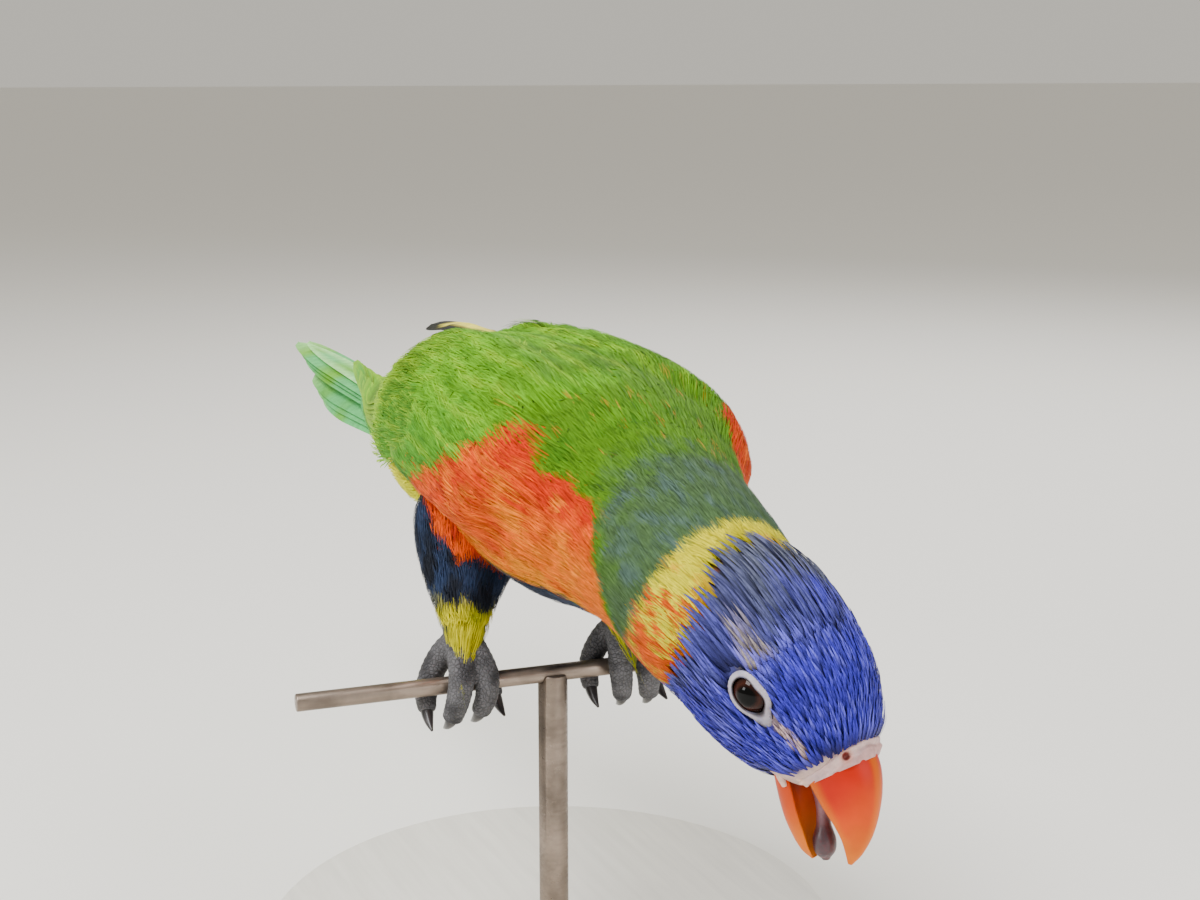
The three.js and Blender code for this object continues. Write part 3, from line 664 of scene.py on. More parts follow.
def body_colour(t, angle, points):
    """Linear colours at stations and angles. points are the same places, for the unevenness."""
    far = np.abs(angle)
    broad = cloud(points, 14, 1)
    fine = cloud(points, 3.5, 2)
    spot = cloud(points, 2.6, 3)
    green = mix(GREEN_BACK, GREEN_BRIGHT, ramp(6.4 - t + broad * 1.4, 0, 2.0))
    green = mix(green, GREEN_DEEP, 0.55 * ramp(fine + broad * 0.4, 0.1, 1.3))
    green = mix(green, GREEN_SIDE, 0.65 * ramp(far + 8 * fine, 45, 85) * ramp(6.6 - t, 0, 1))
    arcs = np.sin(far * 0.5 + 2.6 * cloud(points, 28, 24)) * ramp(6.6 - t, 0, 1.2)
    green = mix(green, GREEN_DEEP, 0.3 * ramp(-arcs, 0.2, 1.0))
    green = mix(green, GREEN_FRINGE, 0.35 * ramp(arcs + 0.3 * fine, 0.5, 1.2))
    flecks = ramp(spot, 0.95, 1.2) * ramp(t, 5.2, 6.4) * ramp(9.0 - t, 0, 0.9) * ramp(70 - far, 0, 20)
    green = mix(green, FLECK_ORANGE, 0.6 * flecks)
    neck = mix(NECK_GREEN, NECK_BLUE, 0.4 * ramp(spot + 0.5 * fine, -0.4, 1.4))
    green = mix(green, neck, ramp(t - neck_edge(angle) + 0.25 * fine, -0.35, 0.75))
    green = mix(green, GREEN_RUMP, 0.8 * ramp(2.4 - t + 0.2 * fine, 0, 0.8))
    yellow = mix(THIGH_GREEN, UNDERTAIL_YELLOW, ramp(far + 9 * fine, 100, 116))
    green = mix(green, yellow, ramp(3.6 - t + 0.2 * fine, -0.1, 0.3) * ramp(far, 100, 107))
    belly = mix(BELLY_BLUE, BELLY_DARK, ramp(broad + 0.6 * fine, -0.5, 1.0))
    below = ramp(far - patch_bottom(t) + 2.5 * fine, -2, 2) * ramp(t - 3.3 + 0.2 * fine, -0.1, 0.2)
    colour = mix(green, belly, below * ramp(neck_edge(angle) - t, -0.1, 0.1))
    breast = mix(ORANGE_RED, ORANGE, ramp(far * 0.035 - 2.9 + 0.9 * fine + 0.5 * broad, -0.6, 0.8))
    breast = mix(breast, ORANGE_YELLOW, 0.45 * ramp(spot + 0.5 * broad, 0.5, 1.3))
    breast = mix(breast, ORANGE_YELLOW, 0.35 * ramp(t + 0.6 * fine, 5.6, 7.2) * ramp(far, 70, 100))
    breast = mix(breast, ORANGE_YELLOW, 0.8 * ramp(far - patch_bottom(t) + 20 + 12 * fine, 0, 18))
    inside = ramp(far - patch_top(t) + 2.0 * fine, -1.5, 1.5)
    inside = inside * ramp(patch_bottom(t) - far + 2.5 * fine, -2, 2)
    inside = inside * ramp(neck_edge(angle) - t + 0.08 * fine, -0.06, 0.06) * ramp(t + 0.1 * fine, 3.2, 3.5)
    colour = mix(colour, breast, inside)
    back = np.interp(angle, COLLAR_ANGLES, COLLAR_BACK)
    front = collar_front(angle)
    streaks = ramp(cloud(points, 2.2, 5) + 0.9 * ramp(far, 55, 120), 0.3, 0.8)
    collar = mix(COLLAR_YELLOW, COLLAR_ORANGE, np.clip(1.05 * streaks * ramp(far, 42, 80), 0, 1))
    collar = mix(collar, ORANGE_RED, 0.85 * ramp(t - front + 0.28 + 0.1 * fine, 0, 0.25))
    grey = ramp(front + 1.9 - t + 0.6 * broad + 0.3 * fine, 0, 1.5) * (0.5 + 0.4 * ramp(70 - far, 0, 40))
    head = mix(HEAD_BLUE, HEAD_OLIVE, grey)
    olive = ramp(cloud(points, 5, 8), 0.1, 1.1) * ramp(14.2 - t, 0, 2.5)
    head = mix(head, HEAD_DARK * 0.6 + HEAD_OLIVE * 0.4, 0.6 * olive)
    mark = np.hypot((t - 11.5) * 7.5, (angle + 62) * 0.24)
    head = mix(head, HEAD_BUFF, 0.9 * ramp(2.9 + 0.8 * fine - mark, 0, 1.0))
    share = np.clip((t - 12.9) / 1.0, 0, 1)
    off_line = np.hypot((t - 12.9 - 1.0 * share) * 6, (far - 78 + 8 * share) * 0.22)
    head = mix(head, BARE_PINK, 0.9 * ramp(1.0 - off_line, 0, 0.5) * ramp(t, 12.7, 12.9))
    colour = mix(colour, collar, ramp(t - back + 0.06 * fine, -0.08, 0.08) * ramp(front - back, 0.02, 0.2))
    return mix(colour, head, ramp(t - front + 0.05 * fine, -0.06, 0.08))


# A coat of vanes wrapped on the body
VANE_ROWS = np.array([0, 0.16, 0.34, 0.5, 0.64, 0.77, 0.88, 0.95, 1.0])


def lie_height(u):
    """Share of a vane's full height at u: it rises from the skin and then lies nearly flat."""
    return 1 - np.clip(1 - u, 0, 1) ** 2.2


def vane_outline(u, root=0.3, full=0.45, tip=0.6, power=2.0):
    """Share of the full width at u: a narrow root, full from u = full, and rounded off from u = tip."""
    rounded = np.sqrt(np.clip(1 - (np.maximum(u - tip, 0) / (1 - tip)) ** power, 0, 1))
    return (root + (1 - root) * ramp(u, 0, full)) * rounded


def pointed_outline(u):
    return (0.45 + 0.55 * ramp(u, 0, 0.3)) * np.clip(1.25 * (1 - u) ** 0.8, 0.03, 1)


def coat_rows(t_from, t_to, exposure, across, form=BODY_FORM, low=-180.0, high=180.0):
    """Roots in staggered rows from one station to another, as stations and angles in degrees."""
    stations, angles = [], []
    t = t_from
    row = 0
    while t < t_to:
        step = exposure(t) / form.per_station(t)
        turn = math.degrees(across(t) / form.radius(t))
        count = max(3, round((high - low) / turn))
        spots = low + (np.arange(count) + 0.5 * (row % 2)) * (high - low) / count
        angles.append(spots + rng.uniform(-0.3, 0.3, count) * turn)
        stations.append(t + rng.uniform(-0.35, 0.35, count) * step)
        t += step
        row += 1
    angles = (np.concatenate(angles) + 180) % 360 - 180
    return np.concatenate(stations), angles


def wing_swell(t, angle):
    """Height of the folded wing over the body, at a station and an angle in degrees."""
    far = np.abs(angle)
    top = np.interp(t, [3.0, 5.4, 5.95, 6.25], [12, 17, 27, 44])
    low = np.interp(t, [3.0, 3.8, 5.4, 5.95, 6.25], [96, 102, 106, 102, 90])
    inside = ramp(far - top, -8, 10) * ramp(low - far, -10, 8)
    return 3.5 * inside * ramp(t, 2.2, 3.4) * ramp(7.0 - t, 0, 0.8)


def coat_base(form, lift, stations, angles):
    """Height that is added to a form's own: a wing under the coat, and the wing's fullness at its wrist."""
    raised = lift(stations) if lift else 0
    return raised + (wing_swell(stations, np.degrees(angles)) if form is BODY_FORM else 0.0)


def roots_on_skin(t, angle, form):
    """Where roots lie on the unwrapped skin, from 0 to 1."""
    return np.stack([0.02 + 0.96 * t / form.last, 0.5 + angle / 360 * 0.96], -1)


def lay_coat(
    name, t, angle, length, width, material, slot, outline=vane_outline, columns=7, form=BODY_FORM,
    root_shade=0.5, raise_tip=0.3, colour=None, ragged=0.0, drift=0.0, uneven=0.1, twist=0.07,
    edge_dark=0.0, lift=None
):
    """Vanes rooted at stations and angles, tips towards station 0, wrapped round a form."""
    count = len(t)
    length = length * rng.uniform(0.85, 1.15, count)
    half = width / 2 * rng.uniform(0.85, 1.15, count)
    u = VANE_ROWS[None, :, None]
    w = np.linspace(-1, 1, columns)[None, None, :]
    broad = outline(u)
    if ragged:
        broad = broad * (1 - ragged * rng.uniform(0, 1, (count, len(VANE_ROWS), 1)) * np.abs(w) ** 3)
    rounding = (1 - np.sqrt(np.clip(1 - 0.35 * w * w, 0, 1))) * (u > 0.5) * 0.35
    along = length[:, None, None] * (u - rounding)
    stations = t[:, None, None] - along / form.per_station(t)[:, None, None]
    spin = (rng.normal(0, twist, count) + np.radians(drift))[:, None, None]
    sideways = w * broad * half[:, None, None] + along * spin
    angles = np.radians(angle)[:, None, None] + sideways / form.radius(t)[:, None, None]
    depth = form.depth(t)[:, None, None]
    base = coat_base(form, lift, stations, angles)
    if form is BODY_FORM:
        base = base + 1.3 * ramp(t, 14.1, 15.1)[:, None, None]
    rise = -depth + (depth + raise_tip + rng.uniform(-0.08, 0.12, count)[:, None, None]) * lie_height(u)
    tilt = rng.uniform(-0.1, 0.1, count)[:, None, None] * w * half[:, None, None]
    cup = -0.1 * (w * broad) ** 2 * half[:, None, None]
    points = form.place(stations, angles, base + rise + tilt + cup)
    tips_t = t - 0.75 * length / form.per_station(t)
    own_colour = (colour or body_colour)(tips_t, angle, form.place(tips_t, np.radians(angle)))
    own_colour = own_colour * rng.uniform(1 - uneven, 1 + uneven, count)[:, None]
    # Painted shade: each vane is darker towards its root, under the feathers that overlap it.
    shade = (root_shade + (1 - root_shade) * ramp(u, 0.15, 0.8)) * (1 - edge_dark * np.abs(w))
    colours = own_colour[:, None, None, :] * shade[..., None]
    return feather_piece(name, points, colours, roots_on_skin(t, angle, form), length, half, material)


def lay_barbs(
    name, t, angle, length, width, material, slot, form=BODY_FORM, barbs=30, thick=0.22, colour=None,
    raise_tip=0.35, drift=0.0, uneven=0.06, twist=0.06, lift=None, tip_light=0.0, edge_light=0.0,
    root_shade=0.7, loose=0.05, streak=0.13
):
    """Loose barbs over each vane: thin tapered blades that leave the shaft and end past the vane's edge."""
    count = len(t)
    length = length * rng.uniform(0.9, 1.1, count)
    half = width / 2 * rng.uniform(0.9, 1.1, count)
    shape = (count, barbs)
    order = np.arange(barbs)
    w = -0.95 + 1.9 * (order + 0.5) / barbs + rng.uniform(-0.06, 0.06, shape)
    start = 0.2 + 0.52 * ((order * 0.618) % 1) + rng.uniform(-0.04, 0.04, shape)
    start = start * (1 - 0.25 * w * w)
    end = start + rng.uniform(0.34, 0.5, shape)
    end = np.minimum(end, 1.2 - 0.36 * w * w + rng.uniform(-0.09, 0.05, shape))
    bend = w * 0.42 * (1 - 0.5 * start) + rng.normal(0, loose, shape)
    reach = (end - start) * length[:, None]
    r = np.array([0, 0.5, 1.0])[None, None, :, None]
    edge = np.array([-1.0, 1.0])[None, None, None, :]
    wide = thick / 2 * np.interp(r, [0, 0.5, 1.0], [0.8, 1.0, 0.15]) * edge
    start_x = w * half[:, None] * (0.55 + 0.45 * ramp(start, 0.1, 0.5)) * 0.9
    start_y = start * length[:, None]
    start_x, start_y, reach, bend = (part[..., None, None] for part in (start_x, start_y, reach, bend))
    x = start_x + reach * np.sin(bend) * r + wide * np.cos(bend)
    y = start_y + reach * np.cos(bend) * r - wide * np.sin(bend)
    spin = (rng.normal(0, twist, count) + np.radians(drift))[:, None, None, None]
    here = t[:, None, None, None]
    stations = here - y / form.per_station(here)
    angles = np.radians(angle)[:, None, None, None] + (x + y * spin) / form.radius(here)
    u = np.clip(y / length[:, None, None, None], 0, 1.2)
    depth = form.depth(here)
    base = coat_base(form, lift, stations, angles)
    own = rng.uniform(-0.08, 0.12, count)[:, None, None, None]
    own = own + rng.uniform(-0.05, 0.15, shape)[..., None, None]
    rise = -depth + (depth + raise_tip + own) * lie_height(u) + 0.06
    points = form.place(stations, angles, base + rise - 0.1 * x**2 / half[:, None, None, None])
    marks = colour or body_colour
    tip_t, tip_angle = stations[:, :, 2, 0], angles[:, :, 2, 0]
    barb_colour = marks(tip_t, np.degrees(tip_angle), form.place(tip_t, tip_angle))
    shade = rng.uniform(1 - uneven, 1 + uneven, (count, 1)) * rng.uniform(1 - streak, 0.97 + streak, shape)
    shade = np.where(rng.uniform(0, 1, shape) < 0.16, shade * 0.6, shade)
    # Painted shade: each barb is darker towards its root, under the feathers that overlap it, and a shade
    # lighter at its tip.
    along = np.interp(u, [0, 0.4, 1.0], [root_shade, 0.92, 1.04])
    colours = barb_colour[:, :, None, None, :] * (shade[..., None, None] * along)[..., None]
    if edge_light:
        outer = np.abs(w)[:, :, None, None]
        colours = colours * (0.85 + 0.15 * outer)[..., None]
        colours = mix(colours, GREEN_FRINGE, edge_light * ramp(outer, 0.5, 0.9) * ramp(u, 0.2, 0.7))
    if tip_light:
        outer = ramp(r * np.ones_like(u), 0.3, 1.0)
        colours = mix(colours, GREEN_FRINGE, tip_light * outer * ramp(u, 0.65, 0.98))
    root_map = np.repeat(roots_on_skin(t, angle, form), barbs, axis=0)
    lengths, halves = np.repeat(length, barbs), np.repeat(half, barbs)
    flat_points, flat_colours = (part.reshape(count * barbs, 3, 2, 3) for part in (points, colours))
    return feather_piece(name, flat_points, flat_colours, root_map, lengths, halves, material)


def lay_feathers(name, t, angle, length, width, slot, **looks):
    """Vanes, and over them the same feathers as loose barbs."""
    below = {key: looks[key] for key in ("form", "colour", "drift", "lift", "twist") if key in looks}
    lay_coat(
        name, t, angle, length * 0.85, width * 0.9, soft_vane, slot, columns=5, ragged=0.3, root_shade=0.7,
        raise_tip=0.05, uneven=0.05, **below
    )
    return lay_barbs(name + "_barbs", t, angle, length, width, barb_vane, slot, **looks)


# One skin under the coat: body, thighs and the wings' cores in one closed surface
THIGH = {
    -1: [
        [-17, -14, 37, 11.5],
        [-15, -17.2, 30, 11.5],
        [-10, -20.4, 23, 8.8],
        [-5.4, -22.6, 17, 5.8],
        [-3.6, -23.4, 13, 4.4],
    ],
    1: [[-16, 13, 37, 12], [-13, 14, 30, 12], [-8, 12.8, 23, 9], [-1.6, 11, 17, 5.8], [0.2, 9.9, 13, 4.4]],
}


def body_place(u, v):
    end = np.clip(np.minimum(u, 1 - u) / 0.01, 0, 1)
    t = BODY_LAST * np.clip((u - 0.01) / 0.98, 0, 1)
    angle = v * 2 * math.pi
    full = on_body(t, angle, -coat_depth(t))
    middle = smooth(MIDDLES, t)
    return middle + (full - middle) * end[:, None]


def wing_core_place(side):
    def place(u, v):
        s = 0.02 + 0.7 * u
        over = v < 0.5
        across = 0.04 + 0.92 * np.where(over, v * 2, 2 - v * 2)
        middle, out = wing_frame(side, s, across)
        thick = 5.5 - 3.5 * np.clip(u / 0.8, 0, 1)
        pinch = np.clip(np.minimum(np.minimum(u, 1 - u) * 20, 1), 0, 1)
        return middle + out * (-1.3 - np.where(over, 0, thick * pinch))[:, None]

    return place


parts = [shaped_sheet("skin", 150, 96, body_place)]
for side, _ in SIDES:
    path = [[x, y, z, r - THIGH_COAT] for x, y, z, r in THIGH[side]]
    parts.append(shaped_sheet("thigh_form", 24, 28, tube_place(path)))
    parts.append(shaped_sheet("wing_form", 40, 40, wing_core_place(side)))
skin = fuse(parts, SKIN_VOXEL, 4)

grid_t, grid_a = np.meshgrid(np.linspace(0, BODY_LAST, 226), np.linspace(-180, 178, 120), indexing="ij")
grid_points = on_body(grid_t, np.radians(grid_a)).reshape(-1, 3)
near = kdtree.KDTree(len(grid_points))
for k, point in enumerate(grid_points):
    near.insert(point, k)
near.balance()


def nearest_on_body(points):
    """The station and the angle in degrees of the body's surface that is nearest to each point."""
    found = np.array([near.find(point)[1] for point in points])
    return grid_t.ravel()[found], grid_a.ravel()[found]


# The ring of bare skin round an eye: where it is, and how far it reaches
def eye_frame(side):
    """The middle of a lid ring, and its ways out, ahead and up."""
    outward = unit(HEAD_LEFT * side + 0.22 * HEAD_FORWARD + 0.12 * HEAD_UP)
    front = unit(HEAD_FORWARD - outward * (HEAD_FORWARD @ outward))
    upward = np.cross(outward, front)
    return in_head(2.2, 3.0, side * LID_SIDE), outward, front, upward * np.sign(upward @ HEAD_UP)


def lid_reach(turn):
    """The lid ring's middle radius and half thickness, and how near turn is to its point in front."""
    point = np.exp(-((((turn + 0.25 + math.pi) % (2 * math.pi) - math.pi) / 0.3) ** 2))
    return 2.45 + 1.15 * np.cos(turn) ** 2 + 1.15 * point, 0.56 + 0.9 * point, point


def beside_lid(points, side):
    """Distance from a lid ring's middle, as a share of the ring's reach. Points far off get 9 more."""
    middle, _, front, upward = eye_frame(side)
    off = points - middle
    ahead, level = off @ front, off @ upward
    reach, thick, _ = lid_reach(np.arctan2(level, ahead))
    return np.hypot(ahead, level) / (reach + 0.75 * thick) + 9 * (np.linalg.norm(off, axis=1) > 12)


skin_points = own_points(skin)
skin_t, skin_a = nearest_on_body(skin_points)
bare_from = np.interp(np.abs(skin_a), [0, 95, 112, 128, 145, 180], [14.6, 14.5, 14.1, 13.7, 13.8, 14.5])
bare = ramp(skin_t - bare_from, -0.1, 0.15)
# Painted shade: the skin takes the coat's colours at 0.45 and the bare pink at 0.8, as the shade in the gaps
# between feathers.
skin_colours = mix(body_colour(skin_t, skin_a, skin_points) * 0.45, BARE_PINK * 0.8, bare)
# Painted shade inside each lid ring, where the eyeball does not fill it.
for side, _ in SIDES:
    skin_colours = mix(skin_colours, LID_SHADE, ramp(1.0 - beside_lid(skin_points, side), 0, 0.15))
finish_piece(
    skin, skin_colours, skin_material, "plumage_green", "torso", "neck", "head", "leg_left", "leg_right"
)

# Contour feathers of the trunk
TRUNK = [0, 2, 5, 7, 8, 9.2, 10.2, 11]
vane_length = by_station(TRUNK, [8, 11, 12, 11, 8.5, 6.5, 6.5, 6])
vane_width = by_station(TRUNK, [5, 7, 7, 6, 4.2, 3.2, 2.8, 2.4])
row_space = by_station(TRUNK, [2.2, 2.6, 2.7, 2.4, 1.9, 1.6, 1.5, 1.4])
side_space = by_station(TRUNK, [2.6, 3.4, 3.4, 3.0, 2.3, 1.7, 1.5, 1.4])

t_all, a_all = coat_rows(0.4, 11.3, row_space, side_space)
behind_head = t_all < collar_front(a_all) + 0.3
t_all, a_all = t_all[behind_head], a_all[behind_head]
far_all = np.abs(a_all)
tips_all = t_all - 0.8 * vane_length(t_all) / length_per_station(t_all)
on_patch = (far_all > patch_top(tips_all) - 3) & (tips_all > 3.1)
wing_rear = 4.2 + rng.uniform(-0.4, 0.4, len(t_all))
keep = (wing_swell(t_all, a_all) <= 1.2) | on_patch | (tips_all >= wing_rear)
t_all, a_all, far_all = t_all[keep], a_all[keep], far_all[keep]
top = far_all < patch_top(t_all)
low = ~top & (t_all < 8.9)
# Name, slot, which roots, barbs to a feather, their thickness, and how much their shades differ
COAT_GROUPS = [
    ("coat_back", "plumage_green", (t_all < 7.7) & top, 44, 0.2, 0.15),
    ("coat_breast_left", "plumage_green", low & (a_all > 0), 46, 0.2, 0.26),
    ("coat_breast_right", "plumage_green", low & (a_all <= 0), 46, 0.2, 0.26),
    ("coat_neck", "plumage_grey_green", (t_all >= 7.7) & (top | (t_all >= 8.9)), 30, 0.17, 0.15),
]
for name, slot, chosen, barbs, thick, streak in COAT_GROUPS:
    t_now, a_now = t_all[chosen], a_all[chosen]
    upward = np.where(np.abs(a_now) > 60, -np.sign(a_now) * 12.0, 0.0)
    lay_feathers(
        name, t_now, a_now, vane_length(t_now), vane_width(t_now), slot, drift=upward, barbs=barbs,
        thick=thick, streak=streak
    )


# Yellow tufts of the flank that stand out behind the thigh, under the wing's rear edge
def flank_colour(t, angle, points):
    return mix(UNDERTAIL_YELLOW, THIGH_GREEN, 0.6 * ramp(cloud(points, 3, 12), 0.2, 1.2))


for side, side_name in SIDES:
    t_now, a_now = (rng.uniform(lowest, highest, 26) for lowest, highest in ((3.3, 3.75), (106, 124)))
    lay_feathers(
        "flank_tufts_" + side_name, t_now, side * a_now, 12 + 0 * t_now, 4 + 0 * t_now, "plumage_yellow",
        colour=flank_colour, barbs=30, thick=0.22, raise_tip=1.9, loose=0.14, streak=0.22
    )

# Hackles of the head
FACE = [10, 11, 12, 13, 14, 15]
hackle_length = by_station(FACE, [7, 6.6, 5.8, 4.4, 3.0, 2.0])
hackle_width = by_station(FACE, [1.5, 1.4, 1.2, 0.95, 0.8, 0.7])
hackle_row = by_station(FACE, [1.5, 1.3, 1.05, 0.85, 0.65, 0.55])
hackle_side = by_station(FACE, [0.95, 0.9, 0.75, 0.62, 0.55, 0.5])
t_head, a_head = coat_rows(10.7, BODY_LAST + 0.15, hackle_row, hackle_side)
last_root = np.interp(
    np.abs(a_head), [0, 60, 95, 112, 128, 145, 180], [14.75, 14.7, 14.65, 14.3, 13.8, 13.9, 14.5]
)
clear = t_head < last_root
hackle_reach = hackle_length(t_head) / length_per_station(t_head)
for share in (0, 0.5, 0.95):
    spots = on_body(t_head - share * hackle_reach, np.radians(a_head))
    for side, _ in SIDES:
        clear &= beside_lid(spots, side) > 1
clear &= t_head - 0.85 * hackle_reach > collar_front(a_head) - 0.1
t_head, a_head = t_head[clear], a_head[clear]


def hackle_colour(t, angle, points):
    """Head colours only, with some hackles pale at the tip and some dark between them."""
    t = np.maximum(t, collar_front(angle) + 0.2)
    colour = body_colour(t, angle, points)
    chance = rng.uniform(0, 1, len(t)) + 0.25 * cloud(points, 4, 9)
    colour = mix(colour, HEAD_PALE, 0.8 * ramp(chance, 0.5, 1.0) * ramp(t - 10.6, 0, 1.2))
    return mix(colour, HEAD_DARK, 0.6 * ramp(0.2 - chance, 0, 0.15))


lay_coat(
    "coat_head", t_head, a_head, hackle_length(t_head), hackle_width(t_head), hackle_vane, "plumage_blue",
    outline=pointed_outline, columns=3, root_shade=0.35, raise_tip=0.25, colour=hackle_colour, edge_dark=0.45
)


# Thighs, whose tops are hidden under dark tufts of the belly and the lowest feathers of the breast
HANGING_ANGLES = [-90, -48, -16, 16, 36, 44, 50, 60]
HANGING_FROM = [2.1, 1.6, 1.55, 1.8, 2.05, 2.5, 3.0, 5]


def thigh_colour(side):
    def colour_at(t, angle, points):
        fine = cloud(points, 3, 11)
        colour = mix(THIGH_YELLOW, THIGH_GREEN, ramp(fine, -0.2, 1.0))
        dark = mix(BELLY_BLUE, BELLY_DARK, ramp(fine, -0.6, 0.6))
        colour = mix(colour, dark, ramp(t + 0.3 * fine, 0.35, 0.75))
        hanging = ramp(t + 0.35 * fine - np.interp(-side * angle, HANGING_ANGLES, HANGING_FROM), 0, 0.25)
        return mix(colour, mix(ORANGE_RED, ORANGE, ramp(fine, -0.6, 0.8)), hanging)

    return colour_at


for side, side_name in SIDES:
    thigh_form = tube_form(THIGH[side], 1.0, THIGH_COAT)
    t_now, a_now = coat_rows(0.1, 3.9, lambda t: 1.6, lambda t: 1.8, thigh_form)
    lay_feathers(
        "coat_thigh_" + side_name, t_now, a_now, 5.5 + 0.8 * t_now, 2.8 + 0.3 * t_now, "plumage_yellow",
        form=thigh_form, colour=thigh_colour(side), uneven=0.12, twist=0.15, barbs=16, thick=0.2,
        raise_tip=0.6
    )


# Vanes laid along paths on a wing or in the tail
VANE_COLUMNS = 9
QUILL_OUTLINE = (0.35, 0.3, 0.72, 2.2)
TAIL_OUTLINE = (0.5, 0.25, 0.62, 1.7)


def laid_vanes(
    name, middle, side_way, out, half, colours, root_map, outline, tilt=0.0, camber=0.1, shaft=0.18
):
    """middle, side_way and out are vanes x rows x 3, and half is each vane's half width."""
    u = np.linspace(0, 1, middle.shape[1])[None, :, None]
    w = np.linspace(-1, 1, VANE_COLUMNS)[None, None, :]
    aside = w * vane_outline(u, *outline) * half[:, None, None]
    lift = tilt * aside - camber * aside**2 / half[:, None, None] + shaft * (np.abs(w) < 0.05)
    points = middle[:, :, None, :] + side_way[:, :, None, :] * aside[..., None]
    points = points + out[:, :, None, :] * lift[..., None]
    lengths = np.linalg.norm(np.diff(middle, axis=1), axis=2).sum(axis=1)
    return feather_piece(name, points, colours, root_map, lengths, half, quill_vane)


# Tiers of a wing: how many, roots and tips as [s, v] of the lowest and of the highest, half widths,
# height over the wing's surface, and rows of points
WING_TIERS = [
    ("primaries", 9, [[0.38, 0.06], [0.42, 0.36]], [[1.0, 0.3], [0.82, 0.5]], [2.9, 4.0], 0.2, 26),
    ("secondaries", 11, [[0.28, 0.1], [0.26, 0.97]], [[0.6, 0.12], [0.65, 0.8]], [4.0, 3.4], 0.6, 22),
]
# How far one feather of the left wing stands up over the back, by its place along the wing
RAISED = ([0.5, 0.6, 0.65, 0.7, 0.8, 0.9, 0.96], [0.5, 1.4, 3.6, 4.8, 4.2, 2.0, 0.8])


def wing_form(side):
    """The wing as a form: stations run from its tip to the wrist, and a radian spans its edges."""
    steps = np.linspace(0, 1, 81)
    lengths = np.linalg.norm(np.gradient(on_wing(side, steps, 0.5), steps, axis=0), axis=1) / WING_LAST
    across = on_wing(side, steps[:, None], np.linspace(0, 1, 25)[None, :])
    chords = np.linalg.norm(np.diff(across, axis=1), axis=2).sum(axis=1)
    stations = WING_LAST * (1 - steps[::-1])

    def place(t, v, grow=0.0):
        t, v, grow = np.broadcast_arrays(np.asarray(t, float), v, grow)
        middle, out = wing_frame(side, 1 - t / WING_LAST, v)
        return middle + out * grow[..., None]

    per_station, radius = by_station(stations, lengths[::-1]), by_station(stations, chords[::-1])
    return Form(place, per_station, radius, by_station([0], [COVERT_DEPTH]), WING_LAST)


def covert_colour(t, angle, points):
    broad, fine = cloud(points, 15, 22), cloud(points, 4, 23)
    green = mix(GREEN_BACK, GREEN_BRIGHT, ramp(broad + 0.4 * fine, -0.9, 0.9))
    green = mix(green, GREEN_SIDE, 0.65 * ramp(38 - angle + 4 * fine, 0, 22))
    arcs = np.sin(np.radians(angle) * 50 + 2.6 * cloud(points, 28, 24))
    green = mix(green, GREEN_DEEP, 0.4 * ramp(fine - 0.4 * broad, 0.1, 1.2) + 0.25 * ramp(-arcs, 0.2, 1))
    green = mix(green, GREEN_FRINGE, 0.35 * ramp(arcs + 0.3 * fine, 0.5, 1.2))
    return mix(green, GREEN_FRINGE, 0.75 * ramp(4.1 - t + 0.2 * fine, 0, 0.5))


def wing_colours(tier, has_lifted, middle):
    """Colours of one tier's vanes, darker at their roots as painted shade under the feathers over them, and
    paler at their rims.
    """
    count, rows = middle.shape[:2]
    u = np.linspace(0, 1, rows)[None, :, None]
    w = np.linspace(-1, 1, VANE_COLUMNS)[None, None, :]
    ones = np.ones((count, rows, VANE_COLUMNS))
    green = mix(GREEN_BACK, GREEN_BRIGHT, ramp(cloud(middle, 16, 21)[:, :, None] * ones + 0.6 * u, -0.8, 1.0))
    green = green * rng.uniform(0.88, 1.1, (count, 1, 1, 1))
    # Painted shade: each vane is darker towards its root, under the feathers that overlap it.
    green = mix(green, GREEN_DEEP, 0.6 * ramp(0.5 - u, 0, 0.5) * ones)
    green = mix(green, GREEN_RUMP, ramp(-105 - middle[..., 0], -25, 0)[:, :, None] * ones)
    colours = mix(green, GREEN_FRINGE, 0.5 * np.maximum(ramp(np.abs(w), 0.7, 1.0), ramp(u, 0.86, 1.0)) * ones)
    if tier == "primaries":
        inner = ramp(w * ones, 0.1, 0.4) * ramp(0.85 - u, 0, 0.2)
        colours = mix(colours, QUILL_BLACK, 0.9 * inner * (np.linspace(0, 1, count)[:, None, None] < 0.6))
    if has_lifted:
        waver = 0.3 * cloud(middle[-1] * 3, 9, 29)[:, None]
        band = ramp(waver - w[0], -0.2, 0.3) * ramp(u[0] + 0.2 * w[0], 0.2, 0.4)
        band = band * ramp(0.88 - u[0] + 0.04 * w[0], 0, 0.05)
        colours[-1] = mix(QUILL_BLACK + 0 * colours[-1], QUILL_YELLOW, band)
    return colours


